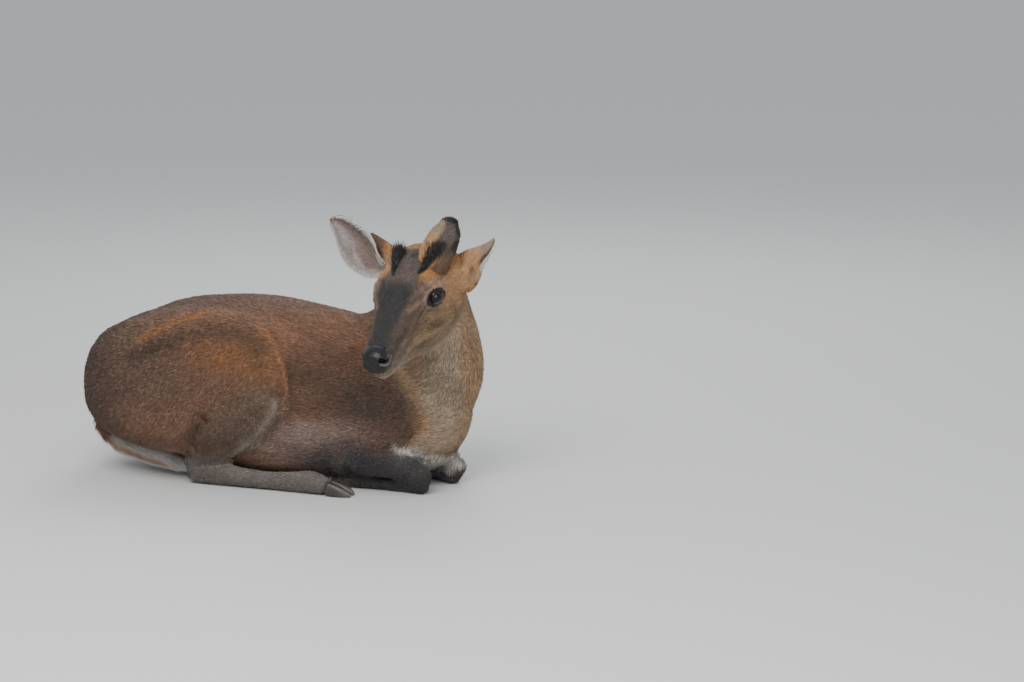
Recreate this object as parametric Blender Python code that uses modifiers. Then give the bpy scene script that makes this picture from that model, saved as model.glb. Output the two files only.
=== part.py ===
"""A life-size muntjac lying down with its legs folded and its head turned back over its right side.

Metres, +Z up. The body faces +X, its right side is -Y, and it lies on the floor at z = 0.
The flesh is fused whole from lofted masses and then parted into nodes with thin cuts.
Feet, tail and head are lofts of their own, which cut their seats in the flesh.
"""
import math
import random

import bmesh
import bpy
import numpy as np
from mathutils import Matrix

# Driving sizes
GAP = 0.0003                 # clearance between nodes that touch
BACK_HEIGHT = 0.272          # top of the back above the floor
BREAST_X = 0.268             # front of the trunk, under the neck
RUMP_X = -0.306              # rear of the trunk
EYE_RADIUS = 0.0145
EYE_SPACING = 0.077          # between the eyeballs' centres
EAR_WIDTH = 0.060
EAR_THICKNESS = 0.0026
HOOF_LENGTH = 0.036
TAIL_LOCKS = 20
CREST_LOCKS = 9

# How finely the solids are faceted
FLESH_VOXEL = 0.0045
FLESH_TRIANGLES = 2300
HEAD_RINGS, HEAD_SIDES = 110, 88
HEAD_TRIANGLES = 2400

# The head's own frame: origin midway between the eyes, x to the nose, y to the left, z to the crown
HEAD_ORIGIN = (0.2377, -0.113, 0.302)
HEAD_YAW = -100.0            # degrees from +X, so that it looks back over its right side
HEAD_PITCH = 32.5            # degrees, nose down

COATS = {                    # colour, roughness
    "russet": ((0.36, 0.155, 0.075), 0.75),
    "grey_brown": ((0.16, 0.115, 0.09), 0.75),
    "tan": ((0.42, 0.27, 0.15), 0.75),
    "dark_face": ((0.14, 0.10, 0.08), 0.7),
    "black": ((0.02, 0.018, 0.017), 0.6),
    "nose": ((0.025, 0.025, 0.03), 0.3),
    "eye": ((0.01, 0.009, 0.01), 0.05),
    "horn": ((0.05, 0.042, 0.038), 0.45),
}

# Body masses: stations of (x, y, z, half width, half height, roll in degrees)
NECK = (
    (0.150, 0.000, 0.135, 0.076, 0.088, 0),
    (0.195, 0.000, 0.150, 0.070, 0.090, 0),
    (0.228, 0.000, 0.185, 0.060, 0.078, 0),
    (0.242, -0.004, 0.225, 0.053, 0.066, -15),
    (0.246, -0.014, 0.268, 0.048, 0.057, -50),
    (0.245, -0.026, 0.300, 0.044, 0.052, -80),
    (0.244, -0.036, 0.320, 0.041, 0.046, -88),
)
NAPE = (
    (0.080, 0.000, 0.205, 0.050, 0.045, 0),
    (0.135, 0.000, 0.210, 0.050, 0.045, 0),
    (0.180, 0.000, 0.236, 0.042, 0.042, 0),
    (0.212, -0.004, 0.275, 0.036, 0.038, 0),
    (0.228, -0.012, 0.315, 0.034, 0.036, 0),
)
THIGH_CENTRE = (-0.120, 0.088, 0.150)
THIGH_RADII = (0.174, 0.060, 0.104)
THIGH_LEAN = 0.16            # how far its top leans in, for each metre of height
UPPER_ARM = (                # shoulder blade down to the elbow
    (0.120, 0.052, 0.185, 0.030, 0.045, 0),
    (0.160, 0.058, 0.150, 0.034, 0.052, 0),
    (0.183, 0.064, 0.108, 0.034, 0.048, 0),
    (0.168, 0.073, 0.074, 0.030, 0.040, 0),
    (0.140, 0.078, 0.058, 0.025, 0.033, 0),
)
HIP = (                      # fills the flesh between the back and the haunch
    (-0.245, 0.044, 0.162, 0.056, 0.064, 0),
    (-0.180, 0.054, 0.190, 0.062, 0.064, 0),
    (-0.100, 0.060, 0.200, 0.064, 0.061, 0),
    (-0.010, 0.060, 0.190, 0.058, 0.060, 0),
    (0.060, 0.055, 0.170, 0.052, 0.058, 0),
)
SHANK = (                    # stifle down to the hock
    (0.000, 0.106, 0.132, 0.035, 0.048, 0),
    (-0.030, 0.111, 0.100, 0.032, 0.043, 0),
    (-0.064, 0.112, 0.070, 0.025, 0.033, 0),
    (-0.094, 0.110, 0.045, 0.017, 0.022, 0),
    (-0.112, 0.108, 0.032, 0.012, 0.015, 0),
)
HIND_CANNON = (              # hock forward to the fetlock and pastern, on the floor
    (-0.108, 0.108, 0.022, 0.013, 0.020, 0),
    (-0.080, 0.109, 0.021, 0.0145, 0.0195, 0),
    (-0.030, 0.112, 0.0155, 0.012, 0.0155, 0),
    (0.030, 0.115, 0.0145, 0.0115, 0.0145, 0),
    (0.065, 0.117, 0.016, 0.0135, 0.0165, 0),
    (0.084, 0.118, 0.017, 0.015, 0.0175, 0),
    (0.102, 0.119, 0.014, 0.0145, 0.0145, 0),
)
FOREARM = {                  # elbow forward to the knee; the left one crosses to the midline
    "right": (
        (0.136, 0.081, 0.058, 0.024, 0.032, 0),
        (0.175, 0.081, 0.052, 0.022, 0.028, 0),
        (0.208, 0.079, 0.042, 0.018, 0.022, 0),
        (0.232, 0.077, 0.031, 0.0165, 0.0185, 0),
        (0.240, 0.076, 0.026, 0.016, 0.017, 0),
    ),
    "left": (
        (0.136, 0.081, 0.058, 0.024, 0.032, 0),
        (0.182, 0.066, 0.052, 0.022, 0.028, 0),
        (0.226, 0.042, 0.040, 0.018, 0.021, 0),
        (0.256, 0.020, 0.029, 0.0165, 0.0185, 0),
        (0.264, 0.014, 0.025, 0.016, 0.017, 0),
    ),
}
FORE_CANNON = {              # knee back to the fetlock and pastern, folded under
    "right": (
        (0.240, 0.070, 0.012, 0.013, 0.0125, 0),
        (0.210, 0.066, 0.0105, 0.011, 0.011, 0),
        (0.160, 0.062, 0.0095, 0.010, 0.010, 0),
        (0.122, 0.060, 0.0115, 0.0125, 0.012, 0),
        (0.106, 0.060, 0.0105, 0.012, 0.011, 0),
    ),
    "left": (
        (0.262, 0.010, 0.012, 0.013, 0.0125, 0),
        (0.232, 0.020, 0.0105, 0.011, 0.011, 0),
        (0.186, 0.036, 0.0095, 0.010, 0.010, 0),
        (0.150, 0.048, 0.0115, 0.0125, 0.012, 0),
        (0.136, 0.052, 0.0105, 0.012, 0.011, 0),
    ),
}
TAIL = (
    (-0.292, -0.018, 0.090, 0.018, 0.014, 0),
    (-0.290, -0.030, 0.068, 0.018, 0.013, 0),
    (-0.262, -0.046, 0.044, 0.017, 0.012, 0),
    (-0.215, -0.060, 0.031, 0.015, 0.011, 0),
    (-0.165, -0.068, 0.022, 0.011, 0.009, 0),
    (-0.142, -0.071, 0.018, 0.005, 0.005, 0),
)

# Head sections: x, top, bottom, half width, level of the greatest width
HEAD = (
    (-0.1010, 0.0000, -0.0350, 0.0140, -0.0100),
    (-0.0930, 0.0210, -0.0620, 0.0370, -0.0100),
    (-0.0750, 0.0370, -0.0880, 0.0490, -0.0100),
    (-0.0480, 0.0435, -0.1010, 0.0540, -0.0080),
    (-0.0180, 0.0410, -0.1020, 0.0530, 0.0000),
    (0.0050, 0.0360, -0.0960, 0.0480, 0.0060),
    (0.0280, 0.0285, -0.0860, 0.0415, 0.0000),
    (0.0550, 0.0190, -0.0730, 0.0325, -0.0070),
    (0.0820, 0.0120, -0.0630, 0.0265, -0.0130),
    (0.1050, 0.0070, -0.0560, 0.0230, -0.0160),
    (0.1220, -0.0020, -0.0510, 0.0195, -0.0190),
    (0.1290, -0.0150, -0.0430, 0.0100, -0.0240),
)
NOSE_CENTRE, NOSE_RADII = (0.1195, 0.0, -0.0150), (0.0190, 0.0200, 0.0190)
EYE_CENTRE = (0.004, EYE_SPACING / 2, 0.0095)
EYE_OUT = (0.44, 0.86, 0.25)         # where the left eye looks
EYE_ALONG = (0.86, -0.44, -0.26)     # towards its inner corner
EYE_OPENING = (0.0135, 0.0108)       # half length and half height between the lids
MOUTH = ((0.082, 0.0260, -0.0430), (0.096, 0.0245, -0.0430), (0.110, 0.0215, -0.0405),
         (0.122, 0.0130, -0.0380), (0.127, 0.0000, -0.0375))
TEAR_SLIT = ((0.023, 0.043, 0.008), (0.033, 0.040, 0.003), (0.046, 0.037, -0.002))
CROWN_RIDGE = ((0.030, 0.013, 0.030), (0.000, 0.019, 0.038), (-0.030, 0.026, 0.043))
EAR_ROOT = (-0.066, 0.046, -0.010)    # left ear; the right one mirrors it
EAR_TIP = {"left": (-0.071, 0.128, 0.0625), "right": (-0.075, 0.145, 0.0727)}
EAR_SWIVEL = {"left": 118.0, "right": -40.0}
EAR_BEND = {"left": -0.006, "right": 0.011}
PEDICLE_LEFT = (             # a velvet-covered pedicle with a rounded tip
    (-0.025, 0.028, 0.018, 0.0220, 0.0150, 0),
    (-0.050, 0.037, 0.041, 0.0210, 0.0145, 0),
    (-0.070, 0.043, 0.054, 0.0200, 0.0130, 0),
    (-0.083, 0.044, 0.062, 0.0170, 0.0115, 0),
    (-0.090, 0.044, 0.066, 0.0120, 0.0085, 0),
)
PEDICLE_RIGHT = (            # a short stub under a black tuft
    (-0.026, -0.021, 0.022, 0.0120, 0.0100, 0),
    (-0.044, -0.025, 0.036, 0.0115, 0.0095, 0),
    (-0.058, -0.028, 0.043, 0.0080, 0.0070, 0),
)


def clear_scene():
    for item in list(bpy.data.objects):
        bpy.data.objects.remove(item)


def coat(name):
    """The Principled material of one coat colour, made once."""
    made = bpy.data.materials.get(name)
    if made is None:
        made = bpy.data.materials.new(name)
        made.use_nodes = True
        colour, roughness = COATS[name]
        shader = made.node_tree.nodes["Principled BSDF"]
        shader.inputs["Base Color"].default_value = (*colour, 1)
        shader.inputs["Roughness"].default_value = roughness
        shader.inputs["Metallic"].default_value = 0.0
    return made


def mesh_object(name, points, faces):
    mesh = bpy.data.meshes.new(name)
    mesh.from_pydata(np.asarray(points, float).tolist(), [], [tuple(f) for f in faces])
    mesh.update()
    made = bpy.data.objects.new(name, mesh)
    bpy.context.scene.collection.objects.link(made)
    return made


def turn_outward(made):
    """Splits the faces into triangles and turns them outwards."""
    work = bmesh.new()
    work.from_mesh(made.data)
    bmesh.ops.triangulate(work, faces=work.faces)
    bmesh.ops.recalc_face_normals(work, faces=work.faces)
    if work.calc_volume(signed=True) < 0:
        bmesh.ops.reverse_faces(work, faces=work.faces)
    work.to_mesh(made.data)
    work.free()
    return made


def apply_modifiers(made):
    graph = bpy.context.evaluated_depsgraph_get()
    mesh = bpy.data.meshes.new_from_object(made.evaluated_get(graph))
    made.modifiers.clear()
    made.data = mesh


def remove(*items):
    for item in items:
        bpy.data.objects.remove(item)


def copy_of(made, name):
    other = bpy.data.objects.new(name, made.data.copy())
    bpy.context.scene.collection.objects.link(other)
    return other


def grown(made, by=GAP):
    """A copy pushed out along its normals, to cut a seat that leaves the gap."""
    other = copy_of(made, made.name + "_grown")
    points = np.empty(len(other.data.vertices) * 3)
    normals = np.empty(len(other.data.vertices) * 3)
    other.data.vertices.foreach_get("co", points)
    other.data.vertex_normals.foreach_get("vector", normals)
    other.data.vertices.foreach_set("co", points + normals * by)
    other.data.update()
    return other


def combine(made, other, operation):
    """One Boolean cut. The manifold solver is used, as the exact one loses the flesh at its long seams."""
    cut = made.modifiers.new("Boolean", "BOOLEAN")
    cut.operation = operation
    cut.solver = "MANIFOLD"
    cut.object = other
    made.modifiers.new("Triangles", "TRIANGULATE")
    apply_modifiers(made)
    return made


def keep_largest(made):
    """Keeps the closed surface that holds most, and drops scraps."""
    work = bmesh.new()
    work.from_mesh(made.data)
    left = set(work.faces)
    islands = []
    while left:
        stack = [left.pop()]
        island = list(stack)
        while stack:
            for edge in stack.pop().edges:
                for face in edge.link_faces:
                    if face in left:
                        left.remove(face)
                        stack.append(face)
                        island.append(face)
        islands.append(island)

    def held(island):
        total = 0.0
        for face in island:
            a = face.verts[0].co
            for b, c in zip(face.verts[1:-1], face.verts[2:]):
                total += a.dot(b.co.cross(c.co))
        return total

    if len(islands) > 1:
        best = max(islands, key=held)
        drop = [face for island in islands if island is not best for face in island]
        bmesh.ops.delete(work, geom=drop, context="FACES")
        loose = [v for v in work.verts if not v.link_faces]
        bmesh.ops.delete(work, geom=loose, context="VERTS")
    work.to_mesh(made.data)
    work.free()
    return made


def boxes_meet(a, b, reach=0.001):
    lows, highs = [], []
    for made in (a, b):
        points = np.empty(len(made.data.vertices) * 3)
        made.data.vertices.foreach_get("co", points)
        points = points.reshape(-1, 3)
        lows.append(points.min(0) - reach)
        highs.append(points.max(0) + reach)
    return bool((np.maximum(*lows) < np.minimum(*highs)).all())


def seat(made, *others):
    """Cuts from made the room that each of the others takes, with the gap."""
    for other in others:
        if boxes_meet(made, other):
            cutter = grown(other)
            combine(made, cutter, "DIFFERENCE")
            remove(cutter)
    return keep_largest(made)


def part_off(flesh, cutter, name):
    """Takes what lies inside the cutter off the flesh as a node of its own."""
    piece = combine(copy_of(flesh, name), cutter, "INTERSECT")
    wide = grown(cutter)
    combine(flesh, wide, "DIFFERENCE")
    remove(wide, cutter)
    keep_largest(flesh)
    return keep_largest(piece)


def finish(made, material, sharp=50):
    made.data.materials.clear()
    made.data.materials.append(coat(material))
    for index in range(len(made.data.polygons)):
        made.data.polygons[index].material_index = 0
    made.data.shade_smooth()
    made.data.set_sharp_from_angle(angle=math.radians(sharp))
    return made


def smooth_rows(rows, count):
    """A smooth curve through rows of numbers, spaced along their first three, as count rows."""
    rows = np.asarray(rows, float)
    reach = np.r_[0, np.cumsum(np.linalg.norm(np.diff(rows[:, :3], axis=0), axis=1))]
    slope = np.gradient(rows, reach, axis=0)
    at = np.linspace(0, reach[-1], count)
    k = np.clip(np.searchsorted(reach, at, side="right") - 1, 0, len(reach) - 2)
    span = (reach[k + 1] - reach[k])[:, None]
    t = (at - reach[k])[:, None] / span
    return ((2 * t**3 - 3 * t**2 + 1) * rows[k] + (t**3 - 2 * t**2 + t) * span * slope[k]
            + (3 * t**2 - 2 * t**3) * rows[k + 1] + (t**3 - t**2) * span * slope[k + 1])


def signed_power(value, power):
    return np.sign(value) * np.abs(value) ** power


def unit(vector):
    vector = np.asarray(vector, float)
    return vector / np.linalg.norm(vector, axis=-1, keepdims=True)


def tube_faces(rings, sides):
    """Faces between rings of a tube whose two poles come after the ring points."""
    faces = []
    for r in range(rings - 1):
        for s in range(sides):
            n = (s + 1) % sides
            faces.append((r * sides + s, r * sides + n, (r + 1) * sides + n, (r + 1) * sides + s))
    start, end, last = rings * sides, rings * sides + 1, (rings - 1) * sides
    for s in range(sides):
        n = (s + 1) % sides
        faces.append((start, n, s))
        faces.append((end, last + s, last + n))
    return faces


def loft(name, stations, sides=20, rings=24, across=(0, 1, 0), pear=0.0, square=2.0, grow=0.0, dome=1.0,
         caps=3):
    """A loft through stations (x, y, z, half width, half height, roll) with domed ends.

    pear narrows the upper half, square above 2 flattens the faces, dome sets how far the ends reach,
    and caps is the number of rings in each dome.
    """
    rows = smooth_rows(stations, rings)
    centre, width, height = rows[:, :3], rows[:, 3] + grow, rows[:, 4] + grow
    tangent = unit(np.gradient(centre, axis=0))
    side = unit(np.asarray(across, float) - (tangent @ np.asarray(across, float))[:, None] * tangent)
    up = np.cross(tangent, side)
    roll = np.radians(rows[:, 5])[:, None]
    side, up = side * np.cos(roll) + up * np.sin(roll), up * np.cos(roll) - side * np.sin(roll)
    poles = []
    for end, sign in ((0, -1), (-1, 1)):
        reach = dome * min(width[end], height[end])
        angles = np.linspace(0, math.pi / 2, caps + 2)[1:-1]
        angles = angles if end else angles[::-1]
        dome_rows = [centre[end] + sign * tangent[end] * reach * np.sin(angles)[:, None],
                     width[end] * np.cos(angles), height[end] * np.cos(angles),
                     np.repeat(side[end][None], caps, 0), np.repeat(up[end][None], caps, 0),
                     np.repeat(tangent[end][None], caps, 0)]
        poles.append(centre[end] + sign * tangent[end] * reach)
        parts = (centre, width, height, side, up, tangent)
        centre, width, height, side, up, tangent = (
            np.concatenate((p, c) if end else (c, p)) for p, c in zip(parts, dome_rows))
    angle = np.linspace(0, 2 * math.pi, sides, endpoint=False)
    s = signed_power(np.sin(angle), 2 / square)
    c = signed_power(np.cos(angle), 2 / square) * (1 - pear * s)
    points = (centre[:, None] + side[:, None] * (c[None, :, None] * width[:, None, None])
              + up[:, None] * (s[None, :, None] * height[:, None, None]))
    made = mesh_object(name, np.concatenate((points.reshape(-1, 3), poles)), tube_faces(len(centre), sides))
    return turn_outward(made)


def mirrored(stations, side):
    return [(x, side * y, z, w, h, roll) for x, y, z, w, h, roll in stations]


def pillow(name, centre, radii, square=2.4, segments=40, lean=0.0):
    """A closed rounded form: a sphere pushed out towards a box as square grows above 2."""
    bpy.ops.mesh.primitive_uv_sphere_add(segments=segments, ring_count=segments // 2, radius=1)
    made = bpy.context.object
    made.name = name
    points = np.empty(len(made.data.vertices) * 3)
    made.data.vertices.foreach_get("co", points)
    points = points.reshape(-1, 3)
    points /= (np.abs(points) ** square).sum(1)[:, None] ** (1 / square)
    points = points * np.asarray(radii)
    points[:, 1] += lean * points[:, 2]
    points += np.asarray(centre)
    made.data.vertices.foreach_set("co", points.ravel())
    made.data.update()
    return turn_outward(made)


def prism(name, centre, radii, inner, outer):
    """An upright oval disc across the body, from |y| = inner to outer."""
    bpy.ops.mesh.primitive_cylinder_add(vertices=24, radius=1, depth=1)
    made = bpy.context.object
    made.name = name
    points = np.empty(len(made.data.vertices) * 3)
    made.data.vertices.foreach_get("co", points)
    points = points.reshape(-1, 3)
    middle = (inner + outer) / 2
    moved = np.stack((centre[0] + radii[0] * points[:, 0],
                      middle + (outer - inner) * points[:, 2],
                      centre[1] + radii[1] * points[:, 1]), 1)
    made.data.vertices.foreach_set("co", moved.ravel())
    made.data.update()
    return turn_outward(made)


def box(name, low, high):
    bpy.ops.mesh.primitive_cube_add(size=1)
    made = bpy.context.object
    made.name = name
    for vertex in made.data.vertices:
        for axis in range(3):
            vertex.co[axis] = low[axis] if vertex.co[axis] < 0 else high[axis]
    made.data.update()
    return made


def lay_flat(made):
    """Rests a form on the floor: what would sink below it is pressed up to it."""
    for vertex in made.data.vertices:
        vertex.co.z = max(vertex.co.z, 0.0)
    made.data.update()
    return made


def trunk_stations():
    sections = (             # x, top, bottom, half width
        (RUMP_X + 0.028, 0.184, 0.056, 0.078),
        (-0.250, 0.210, 0.040, 0.094),
        (-0.190, 0.247, 0.026, 0.106),
        (-0.110, BACK_HEIGHT - 0.002, 0.010, 0.113),
        (-0.030, BACK_HEIGHT, -0.003, 0.117),
        (0.050, 0.260, -0.003, 0.115),
        (0.120, 0.245, -0.003, 0.106),
        (0.175, 0.226, 0.000, 0.094),
        (0.215, 0.196, 0.006, 0.080),
        (BREAST_X - 0.024, 0.150, 0.016, 0.062),
    )
    return [(x, 0, (top + low) / 2, half, (top - low) / 2, 0) for x, top, low, half in sections]


def fuse(name, masses, voxel, smoothing, triangles):
    """One closed skin over overlapping masses: voxel union, smoothing, then fewer triangles."""
    points, faces = [], []
    for mass in masses:
        first = len(points)
        points += [tuple(v.co) for v in mass.data.vertices]
        faces += [tuple(first + i for i in p.vertices) for p in mass.data.polygons]
    made = mesh_object(name, points, faces)
    remove(*masses)
    remesh = made.modifiers.new("Fuse", "REMESH")
    remesh.mode = "VOXEL"
    remesh.voxel_size = voxel
    soften = made.modifiers.new("Soften", "SMOOTH")
    soften.factor = 0.5
    soften.iterations = smoothing
    apply_modifiers(made)
    keep_largest(made)
    return thinned(made, triangles)


def thinned(made, triangles):
    made.data.calc_loop_triangles()
    thin = made.modifiers.new("Thin", "DECIMATE")
    thin.ratio = min(1.0, triangles / len(made.data.loop_triangles))
    made.modifiers.new("Triangles", "TRIANGULATE")
    apply_modifiers(made)
    return made


def make_flesh():
    """Trunk, neck, shoulders, thighs and upper legs as one soft body that lies on the floor."""
    masses = [
        loft("trunk", trunk_stations(), sides=40, rings=40, pear=0.15, square=2.3, dome=0.6),
        loft("neck", NECK, sides=32, rings=24),
        loft("nape", NAPE, sides=24, rings=20),
    ]
    for side, label in ((-1, "right"), (1, "left")):
        x, y, z = THIGH_CENTRE
        masses.append(pillow("thigh", (x, side * y, z), THIGH_RADII, lean=-side * THIGH_LEAN))
        masses.append(loft("hip", mirrored(HIP, side), sides=20, rings=20))
        masses.append(loft("arm", mirrored(UPPER_ARM, side), sides=20, rings=20))
        masses.append(loft("shank", mirrored(SHANK, side), sides=20, rings=16))
        masses.append(loft("forearm", mirrored(FOREARM[label], side), sides=20, rings=16))
    flesh = fuse("torso", masses, FLESH_VOXEL, 7, FLESH_TRIANGLES)
    floor = box("floor", (-1, -1, 0), (1, 1, 1))
    combine(flesh, floor, "INTERSECT")
    remove(floor)
    return flesh


def make_hoofs(name, foot, forward):
    """The two pointed claws of one foot. forward is 1 or -1, and foot is where the claws start."""
    x, y, z = foot
    made = []
    for claw, aside in (("inner", -1), ("outer", 1)):
        middle = y + aside * 0.0082 * (1 if y > 0 else -1)
        tip = y + aside * 0.0068 * (1 if y > 0 else -1)
        stations = (
            (x, middle, z, 0.0070, 0.0110, 0),
            (x + forward * 0.35 * HOOF_LENGTH, middle, z * 0.78, 0.0074, 0.0098, 0),
            (x + forward * 0.70 * HOOF_LENGTH, middle, z * 0.52, 0.0060, 0.0066, 0),
            (x + forward * 0.93 * HOOF_LENGTH, tip, z * 0.30, 0.0030, 0.0032, 0),
        )
        claw_solid = loft(f"hoof_{name}_{claw}", stations, sides=8, rings=4, square=2.3, dome=0.7, caps=1)
        made.append(finish(lay_flat(claw_solid), "horn", 40))
    return made


def lock(name, root, tip, width, thickness, bend, sides=5, rings=4):
    """A flat tapered lock of hair from root to tip, bent sideways by bend."""
    root, tip, bend = (np.asarray(v, float) for v in (root, tip, bend))
    rows = []
    for t, taper in ((0.0, 0.8), (0.35, 1.0), (0.7, 0.66), (0.97, 0.18)):
        point = root + (tip - root) * t + bend * math.sin(math.pi * t) * 0.5
        rows.append((*point, width * taper, thickness * taper, 0))
    return loft(name, rows, sides=sides, rings=rings, across=np.cross(tip - root, (0.3, 0.2, 1.0)), dome=0.5, caps=0)


def join_union(made, pieces):
    """Fuses pieces into a node with one Boolean union over their collection."""
    gathered = bpy.data.collections.new("locks")
    for piece in pieces:
        bpy.context.scene.collection.objects.unlink(piece)
        gathered.objects.link(piece)
    union = made.modifiers.new("Union", "BOOLEAN")
    union.operation = "UNION"
    union.solver = "EXACT"
    union.operand_type = "COLLECTION"
    union.collection = gathered
    bpy.context.scene.collection.children.link(gathered)
    apply_modifiers(made)
    remove(*pieces)
    bpy.data.collections.remove(gathered)
    return keep_largest(made)


def make_tail():
    """A broad tail along the floor, with a fringe of locks down both edges and at its tip."""
    draw = random.Random(7)
    made = loft("tail", TAIL, sides=10, rings=12, across=(0.3, 1, 0))
    rows = smooth_rows(TAIL, TAIL_LOCKS // 2 + 4)
    ahead = unit(np.gradient(rows[:, :3], axis=0))
    pieces = []
    for index in range(3, len(rows) - 1):
        centre, along = rows[index, :3], ahead[index]
        aside = unit(np.cross((0, 0, 1), along))
        for side in (-1, 1):
            reach = 0.030 + 0.008 * draw.random()
            root = centre + aside * side * rows[index, 3] * 0.35
            tip = root + along * reach + aside * side * (0.010 + 0.005 * draw.random())
            tip[2] = max(tip[2] - 0.006 - 0.004 * draw.random(), 0.004)
            bend = aside * side * 0.006 + np.array((0, 0, 0.004))
            pieces.append(lock("lock", root, tip, 0.0055, 0.0030, bend))
    join_union(made, pieces)
    return lay_flat(made)


def head_axes():
    yaw, pitch = math.radians(HEAD_YAW), math.radians(HEAD_PITCH)
    ahead = np.array([math.cos(yaw) * math.cos(pitch), math.sin(yaw) * math.cos(pitch), -math.sin(pitch)])
    left = np.array([-math.sin(yaw), math.cos(yaw), 0.0])
    return np.array([ahead, left, np.cross(ahead, left)])


def carry_to_head(made):
    """Moves a form modelled in the head's frame to its place on the body."""
    points = np.empty(len(made.data.vertices) * 3)
    made.data.vertices.foreach_get("co", points)
    points = np.array(HEAD_ORIGIN) + points.reshape(-1, 3) @ head_axes()
    made.data.vertices.foreach_set("co", points.ravel())
    made.data.update()
    return made


def path_distance(points, path):
    """How far each point is from a line through the path's points."""
    best = np.full(points.shape[:-1], 1.0)
    path = np.asarray(path, float)
    for a, b in zip(path[:-1], path[1:]):
        t = np.clip(((points - a) @ (b - a)) / ((b - a) @ (b - a)), 0, 1)
        best = np.minimum(best, np.linalg.norm(points - a - t[..., None] * (b - a), axis=-1))
    return best


def swell(points, centre, radii, height):
    """A rounded rise of the given height about a place on the left side."""
    away = (points - np.asarray(centre)) / np.asarray(radii)
    return height * np.exp(-(away ** 2).sum(-1))


def head_relief(points):
    """How far the head's skin rises, or sinks, about eyes, brows, cheeks, mouth and tear slits."""
    p = points * np.array([1, 1, 1.0])
    p[..., 1] = np.abs(p[..., 1])
    out = unit(EYE_OUT)
    along = unit(np.asarray(EYE_ALONG) - (np.asarray(EYE_ALONG) @ out) * out)
    upward = np.cross(out, along)
    from_eye = p - np.asarray(EYE_CENTRE)
    d = np.hypot(from_eye @ along / EYE_OPENING[0], from_eye @ upward / EYE_OPENING[1])
    near = from_eye @ out > 0
    lids = np.where(near, 0.0030 * np.exp(-(d / 1.8) ** 2) + 0.0020 * np.exp(-((d - 1.12) / 0.26) ** 2)
                    - 0.0070 * np.exp(-(d / 0.80) ** 4), 0)
    rise = lids
    rise = rise + swell(p, (0.000, 0.038, 0.028), (0.020, 0.012, 0.008), 0.0030)       # brow
    rise = rise + swell(p, (-0.040, 0.046, -0.032), (0.032, 0.020, 0.026), 0.0040)     # cheek
    rise = rise + swell(p, (0.000, 0.045, -0.014), (0.032, 0.020, 0.007), 0.0015)      # cheekbone
    rise = rise - swell(p, (0.036, 0.034, -0.022), (0.018, 0.018, 0.012), 0.0020)      # hollow before it
    rise = rise + swell(p, (0.094, 0.020, -0.024), (0.016, 0.010, 0.008), 0.0015)      # upper lip
    rise = rise + 0.0022 * np.exp(-(path_distance(p, CROWN_RIDGE) / 0.006) ** 2)
    rise = rise - 0.0020 * np.exp(-(path_distance(p, TEAR_SLIT) / 0.0022) ** 2)
    rise = rise - 0.0022 * np.exp(-(path_distance(p, MOUTH) / 0.0016) ** 2)
    return rise


def make_head():
    """The head's sections as a fine loft, raised and sunk by its relief, then thinned."""
    rows = smooth_rows(HEAD, HEAD_RINGS)
    x, top, low, half, level = (rows[:, i][:, None] for i in range(5))
    angle = np.linspace(0, 2 * math.pi, HEAD_SIDES, endpoint=False)[None]
    cosine, sine = np.cos(angle), np.sin(angle)
    upper = signed_power(sine, 2 / 2.35) * (top - level)
    lower = signed_power(sine, 2 / 2.1) * (level - low)
    power = np.where(sine > 0, 2 / 2.35, 2 / 2.1)
    y = np.sign(cosine) * np.abs(cosine) ** power * half
    z = level + np.where(sine > 0, upper, lower)
    points = np.stack((x + 0 * y, y, z), -1)
    reach = np.where(sine > 0, top - level, level - low)
    outward = unit(np.stack((0 * y, y / half ** 2, (z - level) / reach ** 2), -1))
    points = points + outward * head_relief(points)[..., None]
    poles = [(rows[0, 0] - 0.002, 0, rows[0, 4]), (rows[-1, 0] + 0.002, 0, rows[-1, 4])]
    made = mesh_object("head", np.concatenate((points.reshape(-1, 3), poles)),
                       tube_faces(HEAD_RINGS, HEAD_SIDES))
    turn_outward(made)
    return carry_to_head(thinned(made, HEAD_TRIANGLES))


def make_nose():
    """The bare nose pad, with a comma-shaped nostril sunk in each side."""
    made = pillow("nose_pad", NOSE_CENTRE, NOSE_RADII, 2.5, 18)
    points = np.empty(len(made.data.vertices) * 3)
    made.data.vertices.foreach_get("co", points)
    points = points.reshape(-1, 3)
    mirror = points * np.array([1, 0, 1]) + np.array([0, 1, 0]) * np.abs(points[:, 1:2])
    nostril = ((0.1360, 0.0095, -0.0140), (0.1330, 0.0145, -0.0165), (0.1295, 0.0165, -0.0130))
    depth = 0.0050 * np.exp(-(path_distance(mirror, nostril) / 0.0034) ** 2)
    points += unit(np.asarray(NOSE_CENTRE) - points) * depth[:, None]
    made.data.vertices.foreach_set("co", points.ravel())
    made.data.update()
    return carry_to_head(made)


def make_eye(label, side):
    bpy.ops.mesh.primitive_uv_sphere_add(segments=14, ring_count=8, radius=EYE_RADIUS)
    made = bpy.context.object
    made.name = f"eye_{label}"
    turn_outward(made)
    place = np.array(EYE_CENTRE) * np.array([1, side, 1])
    made.data.transform(Matrix.Translation(tuple(place)))
    return carry_to_head(made)


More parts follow.
